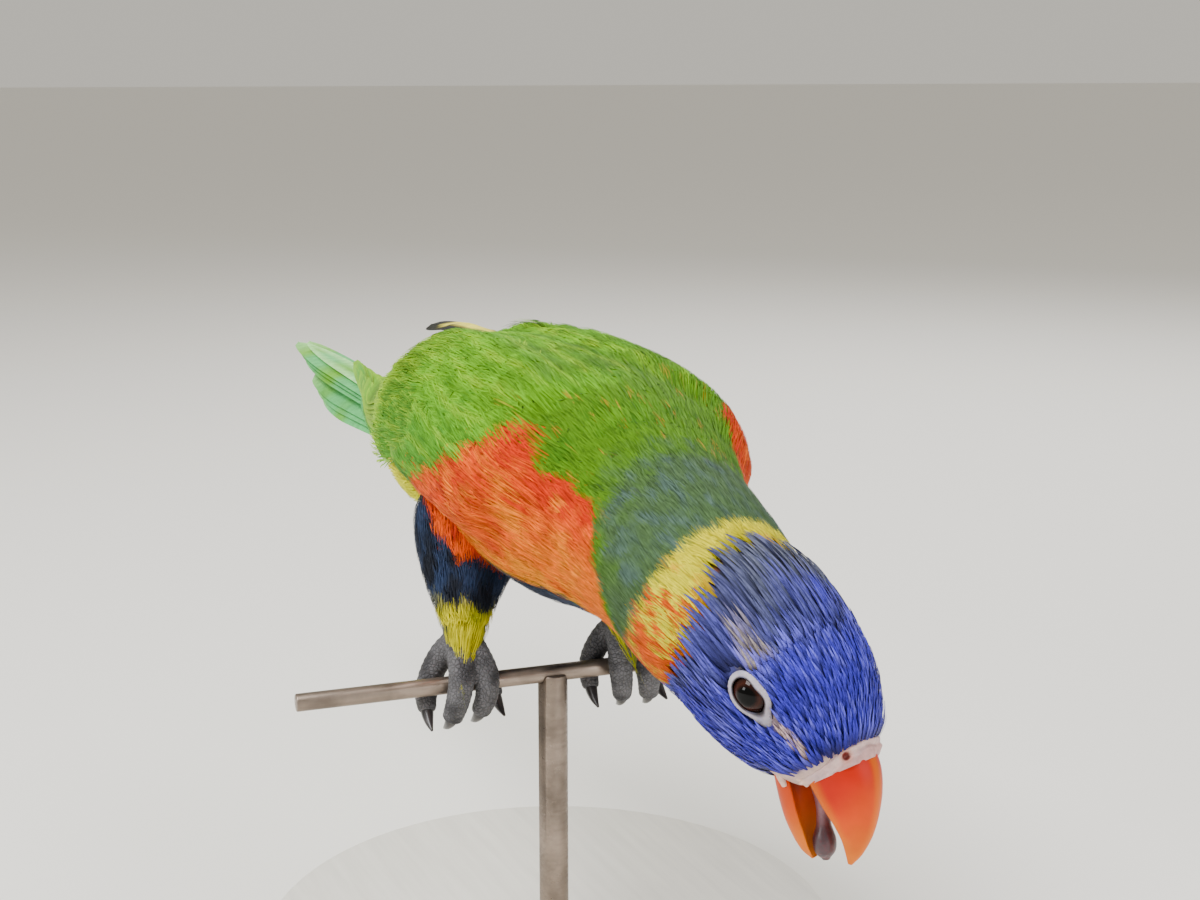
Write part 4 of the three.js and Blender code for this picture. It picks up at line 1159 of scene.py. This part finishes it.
for side, side_name in SIDES:
    for tier, count, roots, tips, wide, over, rows in WING_TIERS:
        has_lifted = tier == "primaries" and side > 0
        share = np.linspace(0, 1, count)[:, None]
        u = np.linspace(0, 1, rows)[None, :]
        start, end = (np.array(ends[0]) * (1 - share) + np.array(ends[1]) * share for ends in (roots, tips))
        end = end + 0.006 * rng.uniform(-1, 1, end.shape)
        s_now, v_now = (start[:, None, k] * (1 - u) + end[:, None, k] * u for k in (0, 1))
        if has_lifted:
            s_now[-1], v_now[-1] = 0.5 + 0.42 * u[0], 0.9
        if tier == "primaries":
            s_now[: count - has_lifted] -= 0.09 * u
        middle, out = wing_frame(side, s_now, v_now)
        ahead = unit(np.gradient(middle, axis=1))
        upward = unit(np.cross(out, ahead) * side)
        above = on_wing(side, s_now, v_now + 0.03)
        upward = upward * np.sign((upward * (above - middle)).sum(-1))[..., None]
        lift = -1.4 + (over + 1.4) * np.minimum(1, u * 1.5) ** 0.8 + rng.uniform(-0.12, 0.12, (count, 1))
        half = wide[0] * (1 - share[:, 0]) + wide[1] * share[:, 0]
        tilt = np.full((count, 1, 1), -0.05)
        if has_lifted:
            lift[-1] += np.interp(s_now[-1], *RAISED)
            half[-1] *= 0.8
            tilt[-1] = -0.6
        middle = middle + out * lift[..., None]
        colours = wing_colours(tier, has_lifted, middle)
        root_map = np.stack([0.05 + 0.9 * np.clip(start[:, 0], 0, 1), 0.05 + 0.9 * start[:, 1]], -1)
        vanes = laid_vanes(
            f"wing_{side_name}_{tier}", middle, upward, out, half, colours, root_map, QUILL_OUTLINE,
            tilt=tilt, shaft=0.1
        )
    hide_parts("wing_" + side_name)
    form = wing_form(side)
    row_now, side_now = by_station([5, 7, 9], [4.2, 3.4, 2.4]), by_station([5, 7, 9], [4.6, 4.2, 3.2])
    t_now, v_now = coat_rows(4.5, 7.4, row_now, side_now, form, math.degrees(0.02), math.degrees(0.93))
    low_edge = np.interp(t_now, [3, 4.6, 5.4, 7.4], [0.02, 0.04, 0.2, 0.34])
    inner = np.radians(v_now) > low_edge
    t_now, v_now = t_now[inner], v_now[inner]
    long_now = np.interp(t_now, [2.2, 3, 5, 6.5, 7.5], [13, 15, 16, 13, 10])
    wide_now = np.interp(t_now, [2.2, 3, 5, 7, 9], [5, 7, 8, 7, 5])
    lay_feathers(
        "coverts_" + side_name, t_now, v_now, long_now, wide_now, "plumage_green", form=form,
        colour=covert_colour, barbs=48, thick=0.22, twist=0.05, tip_light=0.4, edge_light=0.45, uneven=0.14,
        lift=by_station([3.2, 4.5, 6.5], [1.4, 0.9, 0.2])
    )

# Tail: six pairs of feathers over a core of coverts. A pair is its reach, spread, drop and roll
TAIL_PAIRS = [
    (118, 1.8, 0, 6),
    (108, 2.8, 0.5, 10),
    (98, 4.2, 1.1, 15),
    (83, 6.8, 4.0, 29),
    (74, 8.0, 4.9, 35),
    (64, 9.4, 6.0, 43),
]
TAIL_ROWS = 30
CORE_Z = 37.2
TAIL_CORE = [[-78, 13.5], [-92, 12], [-104, 9.4], [-116, 6.4], [-126, 3]]
tail_middle, tail_side, tail_out = [], [], []
u = np.linspace(0, 1, TAIL_ROWS)
for n, (reach, wide, drop, roll) in enumerate(TAIL_PAIRS):
    for side, _ in SIDES:
        x = TAIL_ROOT_X + 10 - (reach + 9.5) * u
        y = TAIL_MIDDLE_Y + side * wide * (0.35 + 0.65 * u) + 4 * u
        z = 38.7 - drop * (0.4 + 0.6 * u) - 0.1 * n + 1.5 * u
        turn = math.radians(side * roll)
        tail_middle.append(np.stack([x, y, z], -1))
        tail_side.append(np.tile([0, math.cos(turn), -math.sin(turn)], (TAIL_ROWS, 1)))
        tail_out.append(np.tile([0, math.sin(turn), math.cos(turn)], (TAIL_ROWS, 1)))
tail_middle, tail_side, tail_out = (np.array(part) for part in (tail_middle, tail_side, tail_out))
count = len(tail_middle)
w = np.linspace(-1, 1, VANE_COLUMNS)[None, None, :]
ones = np.ones((count, TAIL_ROWS, VANE_COLUMNS))
tail_green = mix(GREEN_TAIL, GREEN_BRIGHT, ramp(cloud(tail_middle, 20, 31)[:, :, None] * ones, -0.5, 1.2))
outer_side = np.array([side for _ in TAIL_PAIRS for side, _ in SIDES])[:, None, None]
tail_colours = mix(tail_green, GREEN_TAIL_EDGE, 0.8 * ramp(-w * outer_side * ones, 0.2, 0.9))
tail_colours = mix(tail_colours, GREEN_TAIL_EDGE, 0.5 * ramp(u[None, :, None] * ones, 0.8, 1.0))
root_map = np.stack([np.linspace(0.1, 0.9, count), np.full(count, 0.5)], -1)
laid_vanes(
    "tail_feathers", tail_middle, tail_side, tail_out, np.full(count, TAIL_HALF), tail_colours, root_map,
    TAIL_OUTLINE, camber=0.06
)
tail_form = tube_form([[x, TAIL_MIDDLE_Y, CORE_Z, r] for x, r in TAIL_CORE], TAIL_FLATNESS, TAIL_COAT)


def tail_covert_colour(t, angle, points):
    fine = cloud(points, 4, 41)
    green = mix(GREEN_RUMP, GREEN_TAIL, ramp(fine + 2 - t, -0.6, 1.0))
    return mix(green, UNDERTAIL_YELLOW, 0.85 * ramp(np.abs(angle) + 10 * fine, 105, 130))


t_now, a_now = coat_rows(0.9, 4.0, by_station([0], [3.0]), by_station([0], [3.2]), tail_form)
lay_feathers(
    "tail_coverts", t_now, a_now, 13 + 0 * t_now, 5.6 + 0 * t_now, "plumage_green", form=tail_form,
    colour=tail_covert_colour, barbs=40, tip_light=0.2
)


def tail_core_place(u, v):
    open_share = np.clip(np.minimum(u, 1 - u) * 40, 0, 1)[:, None]
    t = 0.2 + 3.8 * u
    full = tail_form.place(t, v * 2 * math.pi, -TAIL_COAT)
    middle = tail_form.place(t, 0 * v, 0) * [1, 1, 0] + [0, 0, CORE_Z]
    return full * open_share + middle * (1 - open_share)


tail_core = shaped_sheet("tail_core", 40, 32, tail_core_place)
points = own_points(tail_core)
colours = tail_covert_colour(0 * points[:, 0], np.where(points[:, 2] > 37, 0.0, 180.0), points)
# Painted shade: the core takes the coverts' colours at 0.4, as the shade in the gaps between them.
finish_piece(tail_core, 0.4 * colours, skin_material, "plumage_green", "tail")

# Beak and cere: stations as (forward, up) of the ridge and of the cutting edge, and the half width
UPPER_BEAK = [
    ((15.3, 6.9), (12.5, -1.6), 6.3),
    ((18.2, 6.6), (16.2, -2.4), 6.0),
    ((21.2, 5.7), (18.8, -3.1), 5.5),
    ((24.1, 3.6), (21.4, -4.0), 4.7),
    ((26.7, 0.6), (24.1, -4.9), 3.6),
    ((28.7, -2.6), (26.5, -6.2), 2.4),
    ((29.9, -6.0), (28.5, -8.0), 1.2),
    ((30.2, -9.0), (29.7, -9.3), 0.35),
]
LOWER_BEAK = [
    ((10.8, -9.4), (11.6, -4.9), 5.6),
    ((13.7, -11.5), (15.4, -6.2), 5.4),
    ((17.2, -13.4), (18.8, -8.4), 4.8),
    ((20.5, -14.6), (21.8, -10.4), 3.8),
    ((23.4, -15.1), (24.1, -12.4), 2.5),
    ((25.6, -14.7), (25.5, -14.1), 0.9),
]
CERE = [
    ((13.6, 6.8), (10.5, -3.2), 6.8),
    ((16.0, 7.5), (13.6, -3.6), 6.8),
    ((18.2, 7.5), (16.2, -3.6), 6.6),
    ((19.6, 6.6), (17.3, -3.2), 6.0),
]
# Paths of the tongue and of the gape's fold beside the midplane, with their radii, and a nostril's place
TONGUE = [
    (12.5, -4.4, 1.5),
    (16, -5.3, 1.3),
    (19.5, -6.9, 1.1),
    (22.3, -9.0, 1.2),
    (24.2, -10.6, 1.9),
    (25.8, -11.9, 1.7),
    (26.8, -12.6, 0.7),
]
GAPE = [
    (17.2, -3.0, 5.7, 0.5),
    (15.2, -3.1, 6.2, 0.95),
    (13.2, -3.6, 6.3, 1.05),
    (12.3, -4.8, 6.1, 1.0),
    (13.0, -6.2, 5.9, 0.9),
    (14.8, -7.0, 5.6, 0.55),
]
NOSTRIL = (17.5, 5.5, 4.5)


def beak_place(stations, hollow, relief=None):
    """An arch from cutting edge to cutting edge over the ridge, closed by a hollowed floor."""
    ridges, edges = (np.array([s[k] for s in stations], float) for k in (0, 1))
    halves = np.array([s[2] for s in stations], float)
    last = len(stations) - 1

    def place(u, v):
        t = last * np.clip((u - 0.01) / 0.98, 0, 1)
        end = np.clip(np.minimum(u, 1 - u) / 0.01, 0, 1)
        ridge, edge, half = smooth(ridges, t), smooth(edges, t), smooth(halves, t)
        rise = ridge - edge
        arch = v < 0.7
        turn = math.pi * np.clip(v / 0.7, 0, 1)
        across = np.where(arch, np.cos(turn), -1 + 2 * (v - 0.7) / 0.3)
        high = np.where(arch, np.maximum(np.sin(turn), 0) ** 0.85, hollow * (1 - across**2))
        high = 0.35 + (high - 0.35) * end
        across = across * end * np.where(arch, 1, 0.97)
        points = in_head(edge[:, 0] + rise[:, 0] * high, edge[:, 1] + rise[:, 1] * high, half * across)
        if relief:
            middle = in_head(edge[:, 0] + rise[:, 0] * 0.3, edge[:, 1] + rise[:, 1] * 0.3)
            points = points + unit(points - middle) * relief(points, u, v)[:, None]
        return points

    return place


def nostril_distance(points, side):
    """Distance from the line that runs through a nostril towards the middle of the head."""
    spot = in_head(*NOSTRIL[:2], side * NOSTRIL[2])
    inward = unit(in_head(NOSTRIL[0] - 0.6, 0.5, 0) - spot)
    off = points - spot
    beside = off - (off @ inward)[:, None] * inward
    return np.linalg.norm(beside, axis=1) + 9 * (off @ inward > 4)


def cere_relief(points, u, v):
    height = 0.0
    for side, _ in SIDES:
        away = nostril_distance(points, side)
        height = height + 0.75 * np.exp(-((away / 2.1) ** 4)) - 0.75 * np.exp(-((away / 0.62) ** 4))
    forward, up, _ = head_parts(points)
    height = height + 0.22 * np.sin(forward * 4.2 + 1.5 * cloud(points, 5, 52)) * ramp(18.6 - forward, 0, 0.8)
    return height - 0.35 * ramp(forward + 0.15 * up, 18.2, 19.4) + 0.1 * cloud(points, 1.6, 51)


upper_beak = shaped_sheet("upper_beak", 84, 96, beak_place(UPPER_BEAK, 0.16))
points = own_points(upper_beak)
forward, up, left = head_parts(points)
colours = mix(BEAK_DEEP, BEAK_ORANGE, ramp(forward + 0.8 * cloud(points, 5, 61), 20, 27))
ridge_up = np.interp(forward, [15.3, 21.2, 26.7, 30.2], [6.9, 5.7, 0.6, -9])
edge_up = np.interp(forward, [12.5, 18.8, 24.1, 28.5], [-1.6, -3.1, -4.9, -8.0])
colours = mix(colours, BEAK_YELLOW, 0.75 * ramp(edge_up + 2.2 + 0.4 * cloud(points, 4, 62) - up, 0, 2))
colours = mix(colours, BEAK_YELLOW, 0.6 * ramp(forward - up * 0.5 + 0.5 * cloud(points, 3, 64), 24.5, 33))
colours = mix(colours, BEAK_YELLOW, 0.6 * ramp(1.5 - np.abs(left), 0, 1.2) * ramp(up - ridge_up, -1.5, -0.4))
half_now = np.interp(forward, [12.5, 18.8, 24.1, 28.5], [6.3, 5.5, 3.6, 1.2])
# The roof of the mouth under the upper beak: the mouth's red, deepened as painted shade inside the mouth.
roof = ramp(edge_up + 0.22 * (ridge_up - edge_up) - up, -0.3, 0.3) * ramp(27 - forward, 0, 3)
colours = mix(colours, MOUTH_RED_IN_SHADE, roof * ramp(half_now * 0.88 - np.abs(left), 0, 0.4))
finish_piece(upper_beak, colours, horn_material, "beak_horn", "beak_upper")

lower_beak = shaped_sheet("lower_beak", 64, 96, beak_place(LOWER_BEAK, 0.45))
points = own_points(lower_beak)
forward, up, left = head_parts(points)
colours = mix(BEAK_ORANGE, BEAK_YELLOW, ramp(forward + cloud(points, 4, 63), 15, 24))
rim_up = np.interp(forward, [11.6, 18.8, 24.1, 25.5], [-4.9, -8.4, -12.4, -14.1])
# The back of the lower beak's hollow: the mouth's red, deepened as painted shade deep in the mouth.
inside = ramp(17 - forward, 0, 4) * ramp(rim_up - up, 0.2, 1.0) * ramp(4.4 - np.abs(left), 0, 0.5)
colours = mix(colours, MOUTH_RED_IN_SHADE, 0.85 * inside)
finish_piece(lower_beak, colours, horn_material, "beak_horn", "beak_lower")

cere_parts = [shaped_sheet("cere_band", 56, 170, beak_place(CERE, 0.0, cere_relief))]
for side, _ in SIDES:
    fold = [[*in_head(forward, up, side * aside), r] for forward, up, aside, r in GAPE]
    cere_parts.append(shaped_sheet("gape_fold", 60, 24, tube_place(fold, squash=0.8)))
cere = join_pieces(cere_parts)
points = own_points(cere)
colours = np.tile(CERE_PINK, (len(points), 1))
for side, _ in SIDES:
    away = nostril_distance(points, side)
    colours = mix(colours, NOSTRIL_RIM, 0.6 * ramp(1.5 - away, 0, 0.7))
    # Painted shade in each nostril's hole.
    colours = mix(colours, NOSTRIL_SHADE, ramp(0.8 - away, 0, 0.3))
forward, up, _ = head_parts(points)
colours = mix(colours, GAPE_PEACH, 0.7 * ramp(-up, 0, 3))
colours = mix(colours, CERE_GREY, 0.5 * ramp(cloud(points, 3, 71), 0.2, 1.2))
gape_edge = ramp(forward + 0.12 * up + 0.4 * cloud(points, 2, 72), 18.4, 19.3) * ramp(up, -3, 0)
colours = mix(colours, CERE_RED, 0.4 * gape_edge)
finish_piece(cere, colours, bare_material, "cere_skin", "cere")

# Tongue
path = [[*in_head(forward, up), r] for forward, up, r in TONGUE]
tongue = shaped_sheet("tongue_tip", 60, 32, tube_place(path))
points = own_points(tongue)
forward, _, _ = head_parts(points)
colours = mix(TONGUE_PINK, TONGUE_DARK, ramp(forward + 0.5 * cloud(points, 3, 81), 20.5, 23.5))
finish_piece(tongue, colours, tongue_material, "tongue_skin", "tongue")

# Eyes: a ball with a clear bulge over the iris, in a ring of wrinkled bare skin.
# The ball is wet and glossy. Its colours run outward from the pupil over a brown iris to near black.
EYE_STOPS = [
    (0.0, "#020202"),
    (0.38, "#020202"),
    (0.43, "#120604"),
    (0.58, "#32160e"),
    (0.75, "#1c0c08"),
    (0.95, "#040303"),
]
EYE_REACH = 4.0
for side, side_name in SIDES:
    ring_middle, outward, front, upward = eye_frame(side)
    centre = ring_middle - outward * EYE_SINK

    def ball_place(u, v, centre=centre, outward=outward, front=front, upward=upward):
        tilt, turn = math.pi * u, 2 * math.pi * v
        radius = EYE_RADIUS * 0.985 + 0.22 * np.exp(-((tilt / 0.55) ** 4))
        return (
            centre
            + outward * (radius * np.cos(tilt))[:, None]
            + front * (radius * np.sin(tilt) * np.cos(turn))[:, None]
            + upward * (radius * np.sin(tilt) * np.sin(turn))[:, None]
        )

    ball = shaped_sheet("eyeball_" + side_name, 48, 48, ball_place)
    eye_material, tree, shader = new_material(
        f"Wet eye, {side_name}", Roughness=0.05, Specular_IOR_Level=0.14
    )
    place = add_node(tree, "ShaderNodeTexCoord", output="Object")
    pole = tuple(placed(centre + outward * (EYE_RADIUS + 0.1)))
    away = add_node(tree, "ShaderNodeVectorMath", {0: place, 1: pole}, "Value", operation="DISTANCE")
    rays = add_node(tree, "ShaderNodeTexNoise", {"Vector": place, "Scale": 1800.0, "Detail": 2.0})
    share = add_node(tree, "ShaderNodeMath", {0: away, 1: 1 / (EYE_REACH * MM)}, operation="MULTIPLY")
    share = add_node(tree, "ShaderNodeMath", {0: rays, 1: 0.05, 2: share}, operation="MULTIPLY_ADD")
    rings = add_node(tree, "ShaderNodeValToRGB", {"Fac": share})
    stops = rings.node.color_ramp.elements
    stops[1].position = EYE_STOPS[-1][0]
    for stop, _ in EYE_STOPS[1:-1]:
        stops.new(stop)
    for stop, (_, code) in zip(stops, EYE_STOPS):
        stop.color = (*linear(code), 1)
    set_sockets(shader, {"Base Color": rings})
    finish_piece(ball, None, eye_material, "eye", "eye_" + side_name)

    def lid_place(u, v, ring_middle=ring_middle, outward=outward, front=front, upward=upward):
        turn, roll = 2 * math.pi * u, 2 * math.pi * v
        reach, thick, point = lid_reach(turn)
        thick = thick + 0.04 * np.sin(turn * 34 + 2 * np.sin(roll)) * (np.cos(roll) > -0.3)
        radial = front * np.cos(turn)[:, None] + upward * np.sin(turn)[:, None]
        height = 0.26 * np.sin(roll) + 0.4 - 0.3 * np.cos(roll) - 0.8 * np.cos(turn) ** 2 - 0.5 * point
        return ring_middle + radial * (reach + thick * np.cos(roll))[:, None] + outward * height[:, None]

    lid = shaped_sheet("eyelid_" + side_name, 190, 20, lid_place)
    points = own_points(lid)
    ahead, level = (points - ring_middle) @ front, (points - ring_middle) @ upward
    reach, thick, _ = lid_reach(np.arctan2(level, ahead))
    across = (np.hypot(ahead, level) - reach) / thick
    # Painted shade: the lid's inner edge is dark, in the crease against the eyeball.
    colours = mix(LID_SHADE, LID_GREY, ramp(across, -0.75, -0.25))
    colours = mix(colours, LID_BLUE, 0.35 * ramp(cloud(points, 1.5, 91), 0.1, 1.0))
    # The lid's outer rim goes to the dark blue of the hackles' bases, deepened as painted shade under the
    # hackles.
    colours = mix(colours, HEAD_DARK, ramp(across, 0.85, 1.0))
    finish_piece(lid, colours, bare_material, "cere_skin")

# Feet: toes ringed with scutes, joined in one surface
FEET = {-1: (-2.1, -24.0, -1), 1: (1.4, 9.6, 1)}
TARSUS = [[-3.4, 0, 13.2, 3.4], [-2.4, 0, 10.4, 3.4], [-1.2, 0, 7.4, 3.3]]
TOES = [
    [[1.7, 1.5, 5.7, 2.7], [4.0, 2.3, 2.2, 2.5], [4.3, 3.2, -1.8, 2.3], [3.0, 3.9, -5.6, 2.0]],
    [[1.7, -2.0, 5.7, 2.6], [3.9, -3.0, 2.2, 2.4], [4.2, -2.8, -1.8, 2.2], [2.9, -2.1, -5.2, 1.9]],
    [[-3.7, 3.4, 5.2, 2.6], [-4.2, 5.6, 1.4, 2.4], [-3.7, 7.0, -2.4, 2.2], [-1.8, 7.6, -4.9, 1.8]],
    [[-3.6, -3.4, 5.2, 2.5], [-4.1, -5.6, 1.4, 2.3], [-3.5, -6.6, -2.0, 2.0], [-2.0, -6.9, -4.2, 1.7]],
]
TOES = [[[-1.6, math.copysign(0.8, toe[0][1]), 8.2, 3.0]] + toe for toe in TOES]
CLAW = [(0, 0, 1.35), (1.4, 0.3, 1.2), (2.7, 1.2, 0.8), (3.6, 2.6, 0.25)]
SCUTE_SPACE = 1.15

# Foot skin: dry and matt, with fine raised scales, painted shade in the creases between them, and some grime
foot_material, tree, shader = new_material("Grey scaly foot skin, dry and matt", Roughness=0.62)
place = add_node(tree, "ShaderNodeTexCoord", output="Object")
colour = add_node(tree, "ShaderNodeAttribute", attribute_name="coat")
voronoi = {"Vector": place, "Scale": 1300.0}
cells = add_node(tree, "ShaderNodeTexVoronoi", voronoi, "Distance", feature="DISTANCE_TO_EDGE")
grime = add_node(tree, "ShaderNodeTexNoise", {"Vector": place, "Scale": 500.0, "Detail": 4.0})
# Painted shade: the colour darkens along the creases between the scales.
lines = add_node(tree, "ShaderNodeMapRange", between(cells, 0.55, 1.05, 0.0, 0.16))
dirt = add_node(tree, "ShaderNodeMapRange", between(grime, 0.75, 1.2))
shade = add_node(tree, "ShaderNodeMath", {0: lines, 1: dirt}, operation="MULTIPLY")
shaded = add_node(tree, "ShaderNodeVectorMath", {0: colour, 1: shade}, operation="MULTIPLY")
scales = add_node(tree, "ShaderNodeMapRange", between(cells, 0.0, 1.0, 0.0, 0.18))
relief = add_node(tree, "ShaderNodeBump", {"Height": scales, "Strength": 0.6, "Distance": 0.0003})
set_sockets(shader, {"Base Color": shaded, "Normal": relief})


def in_foot(side, path):
    x, y, outward = FEET[side]
    return [[x + f, y + outward * o, WIRE_Z + h, r] for f, o, h, r in path]


def scuted(reach):
    rings = reach / SCUTE_SPACE

    def swell(share, v):
        saw = (share * rings) % 1.0
        return 0.97 + 0.09 * np.minimum(1, 4 * (1 - saw)) * np.minimum(1, saw * 1.2 + 0.35)

    return swell


for side, side_name in SIDES:
    tarsus_place = tube_place(in_foot(side, TARSUS), swell=scuted(6))
    limbs = [shaped_sheet("foot_" + side_name + "_skin", 80, 40, tarsus_place)]
    for toe in TOES:
        path = in_foot(side, toe)
        reach = np.linalg.norm(np.diff(np.array(path)[:, :3], axis=0), axis=1).sum()
        limbs.append(shaped_sheet("toe", 150, 40, tube_place(path, swell=scuted(reach))))
    foot = fuse(limbs, FOOT_VOXEL, 2)
    colours = mix(SCALE_GREY, SCALE_DARK, ramp(-cloud(own_points(foot), 4, 101), -0.2, 1.0))
    finish_piece(foot, colours, foot_material, "foot_skin", "foot_" + side_name)
    for n, toe in enumerate(TOES):
        before, end = (np.array(p[:3], float) for p in toe[-2:])
        ahead = unit(end - before)
        hook = np.array([1.0 if end[0] > before[0] else -1.0, 0, -0.15])
        path = [[*(end + ahead * (a - 0.3) + hook * h), r] for a, h, r in CLAW]
        claw = shaped_sheet(f"claw_{side_name}_{n + 1}_horn", 28, 20, tube_place(in_foot(side, path)))
        finish_piece(claw, None, claw_material, "claw_horn", f"claw_{side_name}_{n + 1}")

# Wire and stand
def round_bar(name, radius, length, middle, turn=(0, 0, 0), chamfer=0.3):
    bpy.ops.object.select_all(action="DESELECT")
    bpy.ops.mesh.primitive_cylinder_add(
        vertices=72, radius=radius * MM, depth=length * MM, location=tuple(placed(middle)), rotation=turn
    )
    bar = bpy.context.object
    bar.name = name
    bpy.ops.object.transform_apply(location=True, rotation=True, scale=True)
    apply_modifier(bar, "BEVEL", width=chamfer * MM, segments=3, angle_limit=math.radians(60))
    bpy.ops.object.shade_smooth_by_angle(angle=math.radians(35))
    return bar


wire_middle = (0, WIRE_MIDDLE_Y, WIRE_Z)
wire_way = (math.pi / 2, 0, WIRE_TURN)
wire = round_bar("steel_wire", WIRE_RADIUS, WIRE_LENGTH, wire_middle, wire_way, 0.25)
rod_length = PERCH_HEIGHT - BASE_THICK - TOUCHING_GAP
rod = round_bar("steel_rod", ROD_RADIUS, rod_length, (0, WIRE_MIDDLE_Y, WIRE_Z - rod_length / 2))
groove = round_bar("groove", WIRE_RADIUS + TOUCHING_GAP, WIRE_LENGTH, wire_middle, wire_way, 0.1)
apply_modifier(rod, "BOOLEAN", object=groove, solver="EXACT")
bpy.data.objects.remove(groove)
finish_piece(wire, None, steel_material, "bare_steel", "perch_wire")
finish_piece(rod, None, steel_material, "bare_steel", "stand_rod")

base_middle = np.array([0, 0, BASE_THICK / 2]) - BIRD_ORIGIN
base = round_bar("turned_base", BASE_RADIUS, BASE_THICK, base_middle, chamfer=1.2)
finish_piece(base, None, paint_material, "painted_wood", "stand_base")

# Floor and light. A light is its place, its size and its power
STUDIO_LIGHTS = [
    ((0.1, -0.45, 0.9), 0.45, 12),
    ((-0.5, 0.6, 0.8), 0.6, 8),
    ((0.7, 0.2, 0.3), 0.5, 3),
    ((0.06, -0.78, 0.38), 0.22, 2.5),
]
floor_material, _, shader = new_material("Matt pale floor board", Roughness=0.85)
shader.inputs["Base Color"].default_value = (*linear("#e9e7e2"), 1)
bpy.ops.object.select_all(action="DESELECT")
bpy.ops.mesh.primitive_plane_add(size=40)
floor = bpy.context.object
floor.name = "floor"
floor.data.materials.append(floor_material)

world = bpy.context.scene.world or bpy.data.worlds.new("studio")
bpy.context.scene.world = world
world.use_nodes = True
background = world.node_tree.nodes["Background"]
background.inputs["Color"].default_value = (*linear("#fffaee"), 1)
background.inputs["Strength"].default_value = 0.62
for place, size, watts in STUDIO_LIGHTS:
    aim = Vector((0.02, 0, 0.12)) - Vector(place)
    bpy.ops.object.light_add(type="AREA", location=place, rotation=aim.to_track_quat("-Z", "Y").to_euler())
    bpy.context.object.data.size = size
    bpy.context.object.data.energy = watts
